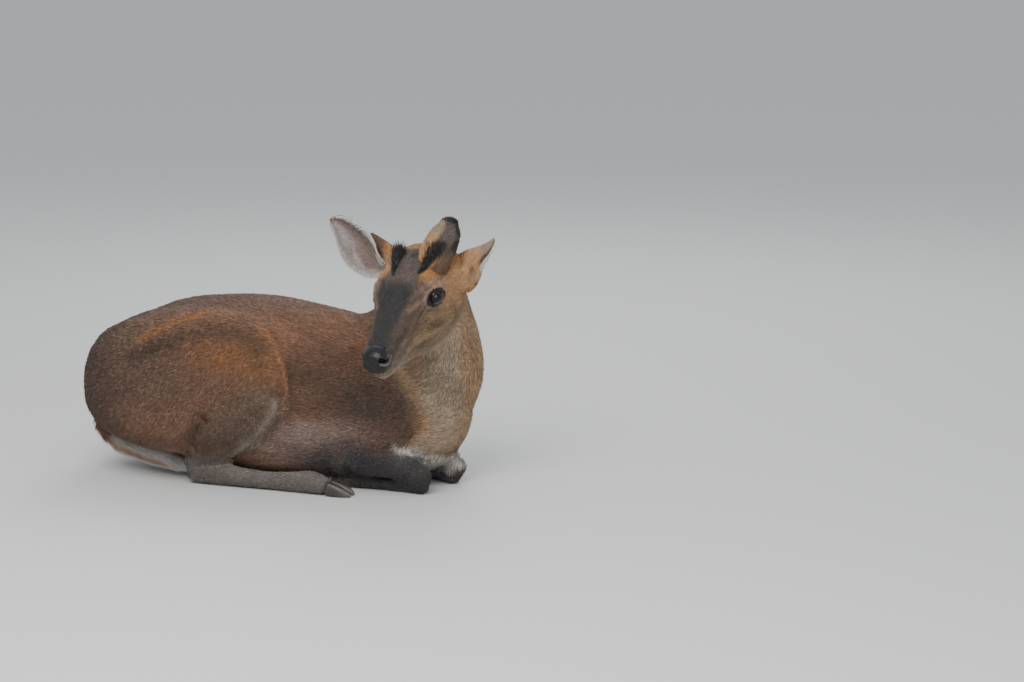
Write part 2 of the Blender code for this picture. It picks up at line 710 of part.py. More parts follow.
def make_ear(label, side):
    """A leaf-shaped cup: across it an arc, which closes to a funnel at the root."""
    root, tip = (np.array(p) * np.array([1, side, 1]) for p in (EAR_ROOT, EAR_TIP[label]))
    along = unit(tip - root)
    face = unit(np.array([1.0, 0, 0]) - along[0] * along)
    swivel = math.radians(EAR_SWIVEL[label]) * side
    face = face * math.cos(swivel) + np.cross(along, face) * math.sin(swivel)
    aside = np.cross(face, along)
    s = 1 - (1 - np.linspace(0, 1, 13)[:, None]) ** 1.6
    t = np.linspace(-1, 1, 9)[None]
    half = EAR_WIDTH / 2 * (0.50 + 0.50 * np.sin(math.pi * np.clip(s * 1.02, 0, 1) ** 0.85)) \
        * np.sqrt(np.clip(1 - np.clip((s - 0.50) / 0.501, 0, 1) ** 2.9, 0, 1))
    half = np.maximum(half, 0.0012)
    spread = np.radians(150 - 95 * np.clip(s / 0.45, 0, 1) ** 0.8)
    radius = half / np.where(spread > math.pi / 2, 1.0, np.sin(np.minimum(spread, math.pi / 2)))
    turn = t * spread
    length = np.linalg.norm(tip - root)
    bow = 0.010 * np.sin(math.pi * s)
    bend = EAR_BEND[label] * np.sin(math.pi * s)
    centre = root + along * (s * length)[..., None] - face * bow[..., None] - side * aside * bend[..., None]
    points = (centre + aside * (radius * np.sin(turn))[..., None]
              + face * (radius * (1 - np.cos(turn)))[..., None])
    rows, columns = points.shape[:2]
    faces = [(r * columns + c, r * columns + c + 1, (r + 1) * columns + c + 1, (r + 1) * columns + c)
             for r in range(rows - 1) for c in range(columns - 1)]
    made = mesh_object(f"ear_{label}", points.reshape(-1, 3), faces)
    shell = made.modifiers.new("Shell", "SOLIDIFY")
    shell.thickness = EAR_THICKNESS
    shell.offset = 0.0
    made.modifiers.new("Triangles", "TRIANGULATE")
    apply_modifiers(made)
    turn_outward(made)
    return carry_to_head(made)


def make_crest(made):
    """Black locks standing on the right pedicle stub."""
    draw = random.Random(3)
    pieces = []
    for index in range(CREST_LOCKS):
        around = index / CREST_LOCKS * 2 * math.pi + 0.3 * draw.random()
        at = 0.25 + 0.6 * draw.random()
        rows = smooth_rows(PEDICLE_RIGHT, 11)
        centre = rows[int(at * 10), :3]
        aside = np.array([0.3 * math.cos(around), math.sin(around), 0.4 * math.cos(around)]) * 0.006
        root = centre + aside * 0.4
        tip = root + np.array([-0.014, 0, 0.013]) * (0.8 + 0.5 * draw.random()) + aside * 0.8
        pieces.append(lock("lock", root, tip, 0.0036, 0.0022, aside * 0.5))
    return join_union(made, pieces)


def centre_on_floor(pieces):
    """Moves the whole so that the origin is at the centre of its underside."""
    corners = np.array([v.co for made in pieces for v in made.data.vertices])
    low, high = corners.min(0), corners.max(0)
    shift = Matrix.Translation((-(low[0] + high[0]) / 2, -(low[1] + high[1]) / 2, -low[2]))
    for made in pieces:
        made.data.transform(shift)


def main():
    clear_scene()
    flesh = make_flesh()
    nodes = {}

    for side, label in ((-1, "right"), (1, "left")):
        nodes[f"hind_cannon_{label}"] = lay_flat(
            loft(f"hind_cannon_{label}", mirrored(HIND_CANNON, side), sides=9, rings=10, caps=2))
        nodes[f"fore_cannon_{label}"] = lay_flat(
            loft(f"fore_cannon_{label}", mirrored(FORE_CANNON[label], side), sides=9, rings=8, caps=2))
        hind, fore = HIND_CANNON[-1], FORE_CANNON[label][-1]
        hoofs = make_hoofs(f"hind_{label}", (hind[0] + 0.012, side * hind[1], 0.011), 1)
        hoofs += make_hoofs(f"fore_{label}", (fore[0] - 0.010, side * fore[1], 0.011), -1)
        for made in hoofs:
            nodes[made.name] = made

    for side, label in ((-1, "right"), (1, "left")):
        shank = loft("cutter", mirrored(SHANK, side), sides=10, rings=4, grow=0.006, caps=1)
        nodes[f"shank_{label}"] = part_off(flesh, shank, f"shank_{label}")
        forearm = loft("cutter", mirrored(FOREARM[label], side), sides=10, rings=4, grow=0.005, caps=1)
        nodes[f"forearm_{label}"] = part_off(flesh, forearm, f"forearm_{label}")
        inner, outer = sorted((side * 0.060, side * 0.20))
        thigh = prism("cutter", (THIGH_CENTRE[0], THIGH_CENTRE[2]), (0.182, 0.116), inner, outer)
        nodes[f"thigh_{label}"] = part_off(flesh, thigh, f"thigh_{label}")
        inner, outer = sorted((side * 0.052, side * 0.20))
        shoulder = prism("cutter", (0.165, 0.125), (0.072, 0.088), inner, outer)
        nodes[f"upper_arm_{label}"] = part_off(flesh, shoulder, f"upper_arm_{label}")

    neck_cut = box("cutter", (-0.2, -0.2, 0), (0.2, 0.2, 0.3))
    tilt = math.radians(31)
    for vertex in neck_cut.data.vertices:
        x, z = vertex.co.x, vertex.co.z
        vertex.co.x = 0.228 + x * math.cos(tilt) + z * math.sin(tilt)
        vertex.co.z = 0.190 - x * math.sin(tilt) + z * math.cos(tilt)
    neck_cut.data.update()
    nodes["neck"] = part_off(flesh, neck_cut, "neck")
    nodes["torso"] = flesh

    nodes["head"] = make_head()
    nodes["nose_pad"] = make_nose()
    for side, label in ((-1, "right"), (1, "left")):
        nodes[f"eye_{label}"] = make_eye(label, side)
        nodes[f"ear_{label}"] = make_ear(label, side)
    nodes["pedicle_left"] = carry_to_head(loft("pedicle_left", PEDICLE_LEFT, sides=14, rings=9))
    nodes["pedicle_right"] = carry_to_head(
        make_crest(loft("pedicle_right", PEDICLE_RIGHT, sides=10, rings=5, caps=2)))
    nodes["tail"] = make_tail()

    for name, made in nodes.items():
        made.name = name
    seat(nodes["head"], nodes["nose_pad"], nodes["eye_left"], nodes["eye_right"])
    for name in ("ear_left", "ear_right", "pedicle_left", "pedicle_right"):
        seat(nodes[name], nodes["head"])
    seat(nodes["neck"], nodes["head"], nodes["ear_left"], nodes["ear_right"])

    feet = [made for name, made in nodes.items() if "cannon" in name or "hoof" in name]
    for name, made in nodes.items():
        if "cannon" in name:
            seat(made, *[foot for foot in feet if "hoof" in foot.name])
    for name in ("shank", "forearm", "thigh", "upper_arm"):
        for label in ("right", "left"):
            seat(nodes[f"{name}_{label}"], *feet)
    seat(nodes["torso"], *feet)
    seat(nodes["tail"], nodes["torso"], nodes["thigh_right"], nodes["shank_right"])

    materials = {
        "torso": "russet", "neck": "tan", "thigh": "russet", "upper": "russet", "shank": "grey_brown",
        "forearm": "grey_brown", "hind": "grey_brown", "fore": "grey_brown", "hoof": "horn",
        "head": "dark_face", "nose": "nose", "eye": "eye", "ear": "tan", "pedicle": "russet",
        "tail": "russet",
    }
    for name, made in nodes.items():
        finish(made, materials[name.split("_")[0]])
    finish(nodes["pedicle_right"], "black")
    centre_on_floor(nodes.values())
    gathered = bpy.data.collections.new("muntjac")
    bpy.context.scene.collection.children.link(gathered)
    for made in nodes.values():
        for collection in list(made.users_collection):
            collection.objects.unlink(made)
        gathered.objects.link(made)


main()
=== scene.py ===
import itertools
import math

import bmesh
import bpy
import numpy as np
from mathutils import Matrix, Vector


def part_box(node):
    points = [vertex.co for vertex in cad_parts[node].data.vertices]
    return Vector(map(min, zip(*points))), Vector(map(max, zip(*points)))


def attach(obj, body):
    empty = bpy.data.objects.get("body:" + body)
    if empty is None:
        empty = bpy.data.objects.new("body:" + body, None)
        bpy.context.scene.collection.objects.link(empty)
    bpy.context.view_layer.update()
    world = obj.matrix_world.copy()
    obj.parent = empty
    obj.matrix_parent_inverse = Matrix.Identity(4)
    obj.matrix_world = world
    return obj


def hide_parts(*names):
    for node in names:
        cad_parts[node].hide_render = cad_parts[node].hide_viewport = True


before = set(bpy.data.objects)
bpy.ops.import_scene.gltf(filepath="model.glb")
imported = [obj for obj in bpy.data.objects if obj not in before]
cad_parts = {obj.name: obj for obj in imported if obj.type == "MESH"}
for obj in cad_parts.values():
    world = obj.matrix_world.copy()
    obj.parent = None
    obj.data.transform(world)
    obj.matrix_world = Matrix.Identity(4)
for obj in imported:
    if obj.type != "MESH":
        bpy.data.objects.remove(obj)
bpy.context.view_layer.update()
draw = np.random.default_rng(11)

# The head's own frame: origin midway between the eyes, x to the nose, y to the left, z to the crown
head = {
    "origin": (0.2377, -0.113, 0.302),
    "yaw": -100.0,
    "pitch": 32.5,               # nose down
    "sections": (                # x, top, bottom, half width, level of the greatest width
        (-0.1010, 0.0000, -0.0350, 0.0140, -0.0100),
        (-0.0930, 0.0210, -0.0620, 0.0370, -0.0100),
        (-0.0750, 0.0370, -0.0880, 0.0490, -0.0100),
        (-0.0480, 0.0435, -0.1010, 0.0540, -0.0080),
        (-0.0180, 0.0410, -0.1020, 0.0530, 0.0000),
        (0.0050, 0.0360, -0.0960, 0.0480, 0.0060),
        (0.0280, 0.0285, -0.0860, 0.0415, 0.0000),
        (0.0550, 0.0190, -0.0730, 0.0325, -0.0070),
        (0.0820, 0.0120, -0.0630, 0.0265, -0.0130),
        (0.1050, 0.0070, -0.0560, 0.0230, -0.0160),
        (0.1220, -0.0020, -0.0510, 0.0195, -0.0190),
        (0.1290, -0.0150, -0.0430, 0.0100, -0.0240),
    ),
    "mouth": ((0.082, 0.0260, -0.0430), (0.096, 0.0245, -0.0430), (0.110, 0.0215, -0.0405),
              (0.122, 0.0130, -0.0380), (0.127, 0.0000, -0.0375)),
    "tearSlit": ((0.023, 0.043, 0.008), (0.033, 0.040, 0.003), (0.046, 0.037, -0.002)),
    "crownRidge": ((0.030, 0.013, 0.030), (0.000, 0.019, 0.038), (-0.030, 0.026, 0.043)),
}
eye = {
    "radius": 0.0145,
    "drawnAt": (0.004, 0.0385, 0.0095),      # where the drawing's plain ball lies
    "centre": (-0.002, 0.0410, 0.0030),
    "looks": (0.56, 0.72, 0.40),
    "innerCorner": (0.79, -0.61, 0.02),
    "socket": (0.0145, 0.0104),      # half length and half height of the hollow
    "opening": (0.0128, 0.0088),     # half length and half height between the lids
    "lidThickness": 0.0010,
}


def unit(vector):
    vector = np.asarray(vector, float)
    return vector / np.maximum(np.linalg.norm(vector, axis=-1, keepdims=True), 1e-9)


def headAxes():
    yaw, pitch = math.radians(head["yaw"]), math.radians(head["pitch"])
    ahead = np.array([math.cos(yaw) * math.cos(pitch), math.sin(yaw) * math.cos(pitch), -math.sin(pitch)])
    left = np.array([-math.sin(yaw), math.cos(yaw), 0.0])
    return np.array([ahead, left, np.cross(ahead, left)])


axes = headAxes()
headOrigin = np.array(head["origin"])
eyeLow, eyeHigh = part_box("eye_left")
eyeMiddle = headOrigin + np.array(eye["drawnAt"]) @ axes
shift = np.array(eyeLow + eyeHigh) / 2 - eyeMiddle      # from the drawing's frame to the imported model's


def fromHead(points):
    return headOrigin + np.asarray(points, float) @ axes


def toHead(points):
    return (points - headOrigin) @ axes.T


# Camera, light and floor

view = {
    "turn": 18.0,                # degrees round from the animal's right side towards its front
    "rise": 10.0,
    "metresPerPixel": 0.0015,
    "subjectPixel": (285, 475.6),    # where the point under the animal's middle falls
    "imageSize": (1024, 682),
    "distance": 4.35,
    "lens": 100,
}


def placeCamera():
    turn, rise = math.radians(view["turn"]), math.radians(view["rise"])
    back = np.array([math.sin(turn) * math.cos(rise), -math.cos(turn) * math.cos(rise), math.sin(rise)])
    right = np.array([math.cos(turn), math.sin(turn), 0])
    up = np.cross(back, right)
    wide, tall = view["imageSize"]
    across, down = view["subjectPixel"]
    aim = (right * (wide / 2 - across) + up * (down - tall / 2)) * view["metresPerPixel"]
    camera = bpy.data.objects.new("camera", bpy.data.cameras.new("camera"))
    bpy.context.scene.collection.objects.link(camera)
    camera.data.lens = view["lens"]
    camera.data.sensor_width = 36
    camera.location = Vector(aim + shift + back * view["distance"])
    camera.rotation_mode = "QUATERNION"
    camera.rotation_quaternion = Vector(back).to_track_quat("Z", "Y")
    bpy.context.scene.camera = camera


lights = {                       # place, width, power, colour
    "key": ((0.2, -2.0, 2.0), 1.6, 62, (1.0, 0.985, 0.96)),
    "fill": ((2.2, -2.1, 0.7), 1.8, 30, (0.97, 0.985, 1.0)),
    "rim": ((-0.2, 2.0, 2.2), 1.6, 30, (1.0, 1.0, 1.0)),
}


def placeLights():
    target = Vector(shift) + Vector((0, 0, 0.15))
    for name, (place, width, power, colour) in lights.items():
        lamp = bpy.data.lights.new(name, "AREA")
        lamp.shape = "DISK"
        lamp.size = width
        lamp.energy = power
        lamp.color = colour
        made = bpy.data.objects.new(name, lamp)
        bpy.context.scene.collection.objects.link(made)
        made.location = place
        made.rotation_mode = "QUATERNION"
        made.rotation_quaternion = (made.location - target).to_track_quat("Z", "Y")
    world = bpy.data.worlds.new("soft")
    world.use_nodes = True
    world.node_tree.nodes["Background"].inputs["Color"].default_value = (0.83, 0.86, 0.9, 1)
    world.node_tree.nodes["Background"].inputs["Strength"].default_value = 0.85
    bpy.context.scene.world = world


def layFloor():
    mesh = bpy.data.meshes.new("floor")
    reach = 40.0
    corners = [(-reach, -reach, 0), (reach, -reach, 0), (reach, reach, 0), (-reach, reach, 0)]
    mesh.from_pydata(corners, [], [(0, 1, 2, 3)])
    made = bpy.data.objects.new("floor", mesh)
    bpy.context.scene.collection.objects.link(made)
    paint = bpy.data.materials.new("floor")
    paint.use_nodes = True
    shader = paint.node_tree.nodes["Principled BSDF"]
    shader.inputs["Base Color"].default_value = (0.60, 0.60, 0.59, 1)
    shader.inputs["Roughness"].default_value = 0.8
    mesh.materials.append(paint)


placeCamera()
placeLights()
layFloor()
print("camera, lights and floor placed")


# Curves, profiles and meshes

def smoothRows(rows, count):
    # a smooth curve through rows of numbers: cubic pieces whose slopes at each row follow its neighbours
    rows = np.asarray(rows, float)
    reach = np.r_[0, np.cumsum(np.linalg.norm(np.diff(rows[:, :3], axis=0), axis=1))]
    slope = np.gradient(rows, reach, axis=0)
    at = np.linspace(0, reach[-1], count)
    k = np.clip(np.searchsorted(reach, at, side="right") - 1, 0, len(reach) - 2)
    span = (reach[k + 1] - reach[k])[:, None]
    t = (at - reach[k])[:, None] / span
    return ((2 * t**3 - 3 * t**2 + 1) * rows[k] + (t**3 - 2 * t**2 + t) * span * slope[k]
            + (3 * t**2 - 2 * t**3) * rows[k + 1] + (t**3 - t**2) * span * slope[k + 1])


def signedPower(value, power):
    return np.sign(value) * np.abs(value) ** power


def tubeFaces(rings, sides):
    # quads between the rings of a tube, and a fan of triangles at each of its two poles
    r, s = (grid.ravel() for grid in np.meshgrid(np.arange(rings - 1), np.arange(sides), indexing="ij"))
    n = (s + 1) % sides
    quads = np.stack((r * sides + s, r * sides + n, (r + 1) * sides + n, (r + 1) * sides + s), 1)
    s = np.arange(sides)
    n = (s + 1) % sides
    first, last = np.full(sides, rings * sides), np.full(sides, rings * sides + 1)
    end = (rings - 1) * sides
    fans = np.concatenate((np.stack((first, n, s), 1), np.stack((last, end + s, end + n), 1)))
    return quads, fans


def buildMesh(name, points, *faceSets):
    # puts whole arrays of points and faces into a mesh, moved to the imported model's frame
    mesh = bpy.data.meshes.new(name)
    points = np.asarray(points, float).reshape(-1, 3) + shift
    mesh.vertices.add(len(points))
    mesh.vertices.foreach_set("co", points.astype(np.float32).ravel())
    corners = np.concatenate([faces.ravel() for faces in faceSets])
    sizes = np.concatenate([np.full(len(faces), faces.shape[1]) for faces in faceSets])
    mesh.loops.add(len(corners))
    mesh.loops.foreach_set("vertex_index", corners.astype(np.int32))
    mesh.polygons.add(len(sizes))
    mesh.polygons.foreach_set("loop_start", np.r_[0, np.cumsum(sizes)[:-1]].astype(np.int32))
    mesh.update(calc_edges=True)
    mesh.validate()
    mesh.shade_smooth()
    return mesh


def turnOutward(mesh):
    work = bmesh.new()
    work.from_mesh(mesh)
    bmesh.ops.recalc_face_normals(work, faces=work.faces)
    if work.calc_volume(signed=True) < 0:
        bmesh.ops.reverse_faces(work, faces=work.faces)
    work.to_mesh(mesh)
    work.free()


def addPiece(name, mesh, material, slot, *replaced):
    made = bpy.data.objects.new(name, mesh)
    bpy.context.scene.collection.objects.link(made)
    mesh.materials.append(material)
    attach(made, "root")
    if replaced:
        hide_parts(*replaced)
    return made


def paintPoints(mesh, colours, name="coatColour"):
    # one colour to each point of the mesh
    layer = mesh.color_attributes.new(name, "FLOAT_COLOR", "POINT")
    rgba = np.ones((len(mesh.vertices), 4), np.float32)
    rgba[:, :3] = colours
    layer.data.foreach_set("color", rgba.ravel())


def carryProfile(rows, count=30, sides=40, across=(0, 1, 0), square=2.0, pear=0.0, lean=0.0, dome=1.0, caps=4):
    # a superellipse carried along a smooth line: centre + side * width * cos^(2/square)
    # + up * height * sin^(2/square), with both ends closed by domes
    rows = smoothRows(rows, count)
    centre, width, height = rows[:, :3], rows[:, 3], rows[:, 4]
    tangent = unit(np.gradient(centre, axis=0))
    across = np.asarray(across, float)
    side = unit(across - (tangent @ across)[:, None] * tangent)
    up = np.cross(tangent, side)
    if rows.shape[1] > 5:
        roll = np.radians(rows[:, 5])[:, None]
        side, up = side * np.cos(roll) + up * np.sin(roll), up * np.cos(roll) - side * np.sin(roll)
    up = up + np.array([0, lean, 0]) * up[:, 2:3]
    core = {"centre": centre, "tangent": tangent, "side": side, "up": up, "width": width,
            "rise": height, "drop": height}
    poles = []
    for end, sign in ((0, -1), (-1, 1)):
        reach = dome * min(width[end], height[end])
        turn = np.linspace(0, math.pi / 2, caps + 2)[1:-1]
        turn = turn if end else turn[::-1]
        cap = [centre[end] + sign * tangent[end] * reach * np.sin(turn)[:, None],
               width[end] * np.cos(turn), height[end] * np.cos(turn),
               np.repeat(side[end][None], caps, 0), np.repeat(up[end][None], caps, 0),
               np.repeat(tangent[end][None], caps, 0)]
        poles.append(centre[end] + sign * tangent[end] * reach)
        whole = (centre, width, height, side, up, tangent)
        centre, width, height, side, up, tangent = (
            np.concatenate((a, b) if end else (b, a)) for a, b in zip(whole, cap))
    angle = np.linspace(0, 2 * math.pi, sides, endpoint=False)
    s = signedPower(np.sin(angle), 2 / square)
    c = signedPower(np.cos(angle), 2 / square) * (1 - pear * s)
    points = (centre[:, None] + side[:, None] * (c[None, :, None] * width[:, None, None])
              + up[:, None] * (s[None, :, None] * height[:, None, None]))
    core["points"] = np.concatenate((points.reshape(-1, 3), poles))
    core["faces"] = tubeFaces(len(centre), sides)
    return core


# The body's masses, as stations of x, y, z, half width, half height and roll

body = {
    "trunk": ((-0.278, 0.184, 0.056, 0.078), (-0.250, 0.210, 0.040, 0.094), (-0.190, 0.247, 0.026, 0.106),
              (-0.110, 0.270, 0.010, 0.113), (-0.030, 0.272, -0.003, 0.117), (0.050, 0.260, -0.003, 0.115),
              (0.120, 0.245, -0.003, 0.106), (0.175, 0.226, 0.000, 0.094), (0.215, 0.196, 0.006, 0.080),
              (0.244, 0.150, 0.016, 0.062)),          # x, top, bottom, half width
    "neck": ((0.150, 0.000, 0.135, 0.076, 0.088, 0), (0.199, 0.000, 0.150, 0.070, 0.101, 0),
             (0.232, 0.000, 0.185, 0.060, 0.083, 0), (0.244, -0.004, 0.225, 0.053, 0.068, -15),
             (0.246, -0.014, 0.268, 0.048, 0.057, -50), (0.245, -0.026, 0.300, 0.044, 0.052, -80),
             (0.244, -0.036, 0.320, 0.041, 0.046, -88)),
    "nape": ((0.080, 0.000, 0.205, 0.050, 0.045, 0), (0.135, 0.000, 0.210, 0.050, 0.045, 0),
             (0.180, 0.000, 0.236, 0.042, 0.042, 0), (0.212, -0.004, 0.275, 0.036, 0.038, 0),
             (0.228, -0.012, 0.315, 0.034, 0.036, 0)),
    "thigh": {"centre": (-0.120, 0.088, 0.150), "radii": (0.174, 0.060, 0.104), "square": 2.4, "lean": 0.16},
    "hip": ((-0.245, 0.044, 0.162, 0.056, 0.064), (-0.180, 0.054, 0.190, 0.062, 0.064),
            (-0.100, 0.060, 0.200, 0.064, 0.061), (-0.010, 0.060, 0.190, 0.058, 0.060),
            (0.060, 0.055, 0.170, 0.052, 0.058)),
    "arm": ((0.120, 0.052, 0.185, 0.030, 0.045), (0.160, 0.058, 0.150, 0.034, 0.052),
            (0.183, 0.064, 0.108, 0.034, 0.048), (0.168, 0.073, 0.074, 0.030, 0.040),
            (0.140, 0.078, 0.058, 0.025, 0.033)),
    "shank": ((0.000, 0.106, 0.132, 0.035, 0.048), (-0.030, 0.111, 0.100, 0.032, 0.043),
              (-0.064, 0.112, 0.070, 0.025, 0.033), (-0.094, 0.110, 0.045, 0.017, 0.022),
              (-0.112, 0.108, 0.032, 0.012, 0.015)),
    "hindCannon": ((-0.108, 0.108, 0.022, 0.013, 0.020), (-0.080, 0.109, 0.021, 0.0145, 0.0195),
                   (-0.030, 0.112, 0.0155, 0.012, 0.0155), (0.030, 0.115, 0.0145, 0.0115, 0.0145),
                   (0.065, 0.117, 0.016, 0.0135, 0.0165), (0.084, 0.118, 0.017, 0.015, 0.0175),
                   (0.102, 0.119, 0.014, 0.0145, 0.0145)),
    "forearmRight": ((0.136, 0.081, 0.058, 0.024, 0.032), (0.175, 0.081, 0.052, 0.022, 0.028),
                     (0.208, 0.079, 0.042, 0.018, 0.022), (0.232, 0.077, 0.031, 0.0165, 0.0185),
                     (0.240, 0.076, 0.026, 0.016, 0.017)),
    "forearmLeft": ((0.136, 0.081, 0.058, 0.024, 0.032), (0.182, 0.066, 0.052, 0.022, 0.028),
                    (0.226, 0.042, 0.040, 0.018, 0.021), (0.256, 0.020, 0.029, 0.0165, 0.0185),
                    (0.264, 0.014, 0.025, 0.016, 0.017)),
    "foreCannonRight": ((0.240, 0.070, 0.012, 0.013, 0.0125), (0.210, 0.066, 0.0105, 0.011, 0.011),
                        (0.160, 0.062, 0.0095, 0.010, 0.010), (0.122, 0.060, 0.0115, 0.0125, 0.012),
                        (0.106, 0.060, 0.0105, 0.012, 0.011)),
    "foreCannonLeft": ((0.262, 0.010, 0.012, 0.013, 0.0125), (0.232, 0.020, 0.0105, 0.011, 0.011),
                       (0.186, 0.036, 0.0095, 0.010, 0.010), (0.150, 0.048, 0.0115, 0.0125, 0.012),
                       (0.136, 0.052, 0.0105, 0.012, 0.011)),
    "earBaseLeft": ((-0.062, 0.030, -0.004, 0.027, 0.036), (-0.067, 0.044, -0.006, 0.025, 0.032),
                    (-0.071, 0.058, -0.008, 0.020, 0.026), (-0.074, 0.069, -0.004, 0.014, 0.018)),
    "earBaseRight": ((-0.062, -0.030, -0.004, 0.026, 0.036), (-0.070, -0.048, -0.004, 0.023, 0.028),
                     (-0.0785, -0.062, 0.0010, 0.018, 0.020), (-0.0840, -0.0760, 0.0090, 0.0135, 0.0150),
                     (-0.0885, -0.0875, 0.0200, 0.0095, 0.0105), (-0.0930, -0.0970, 0.0310, 0.0050, 0.0055)),
    "tail": ((-0.292, -0.018, 0.090, 0.018, 0.014), (-0.290, -0.030, 0.068, 0.018, 0.013),
             (-0.262, -0.046, 0.044, 0.017, 0.012), (-0.215, -0.060, 0.031, 0.015, 0.011),
             (-0.165, -0.068, 0.022, 0.011, 0.009), (-0.142, -0.071, 0.018, 0.005, 0.005)),
}


def thighRows(centre, radii, square):
    # sections of a rounded box: both half sizes shrink as (1 - |t|^square)^(1/square) towards the ends
    t = np.sin(np.linspace(-1, 1, 17) * math.pi / 2) * 0.995
    size = (1 - np.abs(t) ** square) ** (1 / square)
    flat = np.ones_like(t)
    return np.stack((centre[0] + radii[0] * t, centre[1] * flat, centre[2] * flat,
                     radii[1] * size, radii[2] * size), 1)


def mirrored(rows, side):
    return np.asarray(rows, float) * np.r_[1, side, np.ones(len(rows[0]) - 2)]


def headSections(count=70, sides=64):
    # each section is two half superellipses that meet at the level of its greatest width
    rows = smoothRows(head["sections"], count)
    x, top, low, half, level = (rows[:, i][:, None] for i in range(5))
    angle = np.linspace(0, 2 * math.pi, sides, endpoint=False)[None]
    cosine, sine = np.cos(angle), np.sin(angle)
    power = np.where(sine > 0, 2 / 2.35, 2 / 2.1)
    y = np.sign(cosine) * np.abs(cosine) ** power * half
    z = level + signedPower(sine, power) * np.where(sine > 0, top - level, level - low)
    points = np.stack((x + 0 * y, y, z), -1).reshape(-1, 3)
    poles = [(rows[0, 0] - 0.002, 0, rows[0, 4]), (rows[-1, 0] + 0.002, 0, rows[-1, 4])]
    flat = np.zeros(count)
    return {
        "centre": fromHead(np.stack((rows[:, 0], flat, rows[:, 4]), 1)),
        "tangent": np.repeat(axes[:1], count, 0), "side": np.repeat(axes[1:2], count, 0),
        "up": np.repeat(axes[2:], count, 0), "width": rows[:, 3],
        "rise": rows[:, 1] - rows[:, 4], "drop": rows[:, 4] - rows[:, 2],
        "points": fromHead(np.concatenate((points, poles))), "faces": tubeFaces(count, sides),
    }


def placeOnHead(mass):
    # turns a mass drawn in the head's frame into the body's
    turned = {key: mass[key] @ axes for key in ("tangent", "side", "up")}
    return {**mass, **turned, "centre": fromHead(mass["centre"]), "points": fromHead(mass["points"])}


def makeMasses():
    # every mass with the way its hair lies: a fixed direction, or 1 or -1 along its own line
    masses = {}

    def add(name, mass, region, lie):
        masses[name] = {**mass, "region": region, "lie": lie}

    trunk = [(x, 0, (top + low) / 2, half, (top - low) / 2) for x, top, low, half in body["trunk"]]
    add("trunk", carryProfile(trunk, 40, 48, square=2.3, pear=0.15, dome=0.6), "trunk", (-1, 0, 0.05))
    add("neck", carryProfile(body["neck"], 30, 40), "neck", -1)
    add("nape", carryProfile(body["nape"], 30, 32), "neck", -1)
    thigh = body["thigh"]
    for side, label, hand in ((-1, "Right", "right"), (1, "Left", "left")):
        rows = thighRows(thigh["centre"], thigh["radii"], thigh["square"])
        add("thigh" + label, carryProfile(mirrored(rows, side), 40, 48, square=thigh["square"],
                                          lean=-side * thigh["lean"], dome=0.3),
            "haunch_" + hand, (-0.62, 0, -0.78))
        add("hip" + label, carryProfile(mirrored(body["hip"], side), 26, 28), "haunch_" + hand, (-1, 0, -0.15))
        add("arm" + label, carryProfile(mirrored(body["arm"], side), 26, 28), "shoulder", (-0.8, 0, -0.45))
        add("shank" + label, carryProfile(mirrored(body["shank"], side), 24, 28), "leg", 1)
        add("hindCannon" + label, carryProfile(mirrored(body["hindCannon"], side), 30, 24), "leg", 1)
        add("forearm" + label, carryProfile(mirrored(body["forearm" + label], side), 24, 24), "leg", 1)
        add("foreCannon" + label, carryProfile(mirrored(body["foreCannon" + label], side), 24, 20), "leg", 1)
        base = carryProfile(body["earBase" + label], 20, 28, across=(1, 0, 0))
        add("earBase" + label, placeOnHead(base), "face", 1)
    add("head", headSections(), "face", tuple(-axes[0] - 0.25 * axes[2]))
    return masses


masses = makeMasses()


def pathDistance(points, path):
    # how far each point is from a line through the path's points
    best = np.full(points.shape[:-1], 1.0)
    path = np.asarray(path, float)
    for a, b in zip(path[:-1], path[1:]):
        t = np.clip(((points - a) @ (b - a)) / ((b - a) @ (b - a)), 0, 1)
        best = np.minimum(best, np.linalg.norm(points - a - t[..., None] * (b - a), axis=-1))
    return best


def blob(points, centre, radii):
    # a rounded patch: 1 at its centre, falling off as exp(-distance squared)
    return np.exp(-(((points - np.asarray(centre)) / np.asarray(radii)) ** 2).sum(-1))


def ramp(value, low, high):
    # 0 below low, 1 above high, eased between
    t = np.clip((value - low) / (high - low), 0, 1)
    return t * t * (3 - 2 * t)


def bothSides(points):
    # the points of the head folded over to its left side
    return np.stack((points[:, 0], np.abs(points[:, 1]), points[:, 2]), 1)


eyeOut = unit(eye["looks"])
eyeAlong = unit(np.asarray(eye["innerCorner"]) - (np.asarray(eye["innerCorner"]) @ eyeOut) * eyeOut)
eyeUp = np.cross(eyeAlong, eyeOut)


def eyeDistance(p, sizes):
    # how far a point of the left side is from the eye's axis, in half sizes of an oval
    away = p - np.asarray(eye["centre"])
    return np.hypot(away @ eyeAlong / sizes[0], away @ eyeUp / sizes[1]), away @ eyeOut > 0


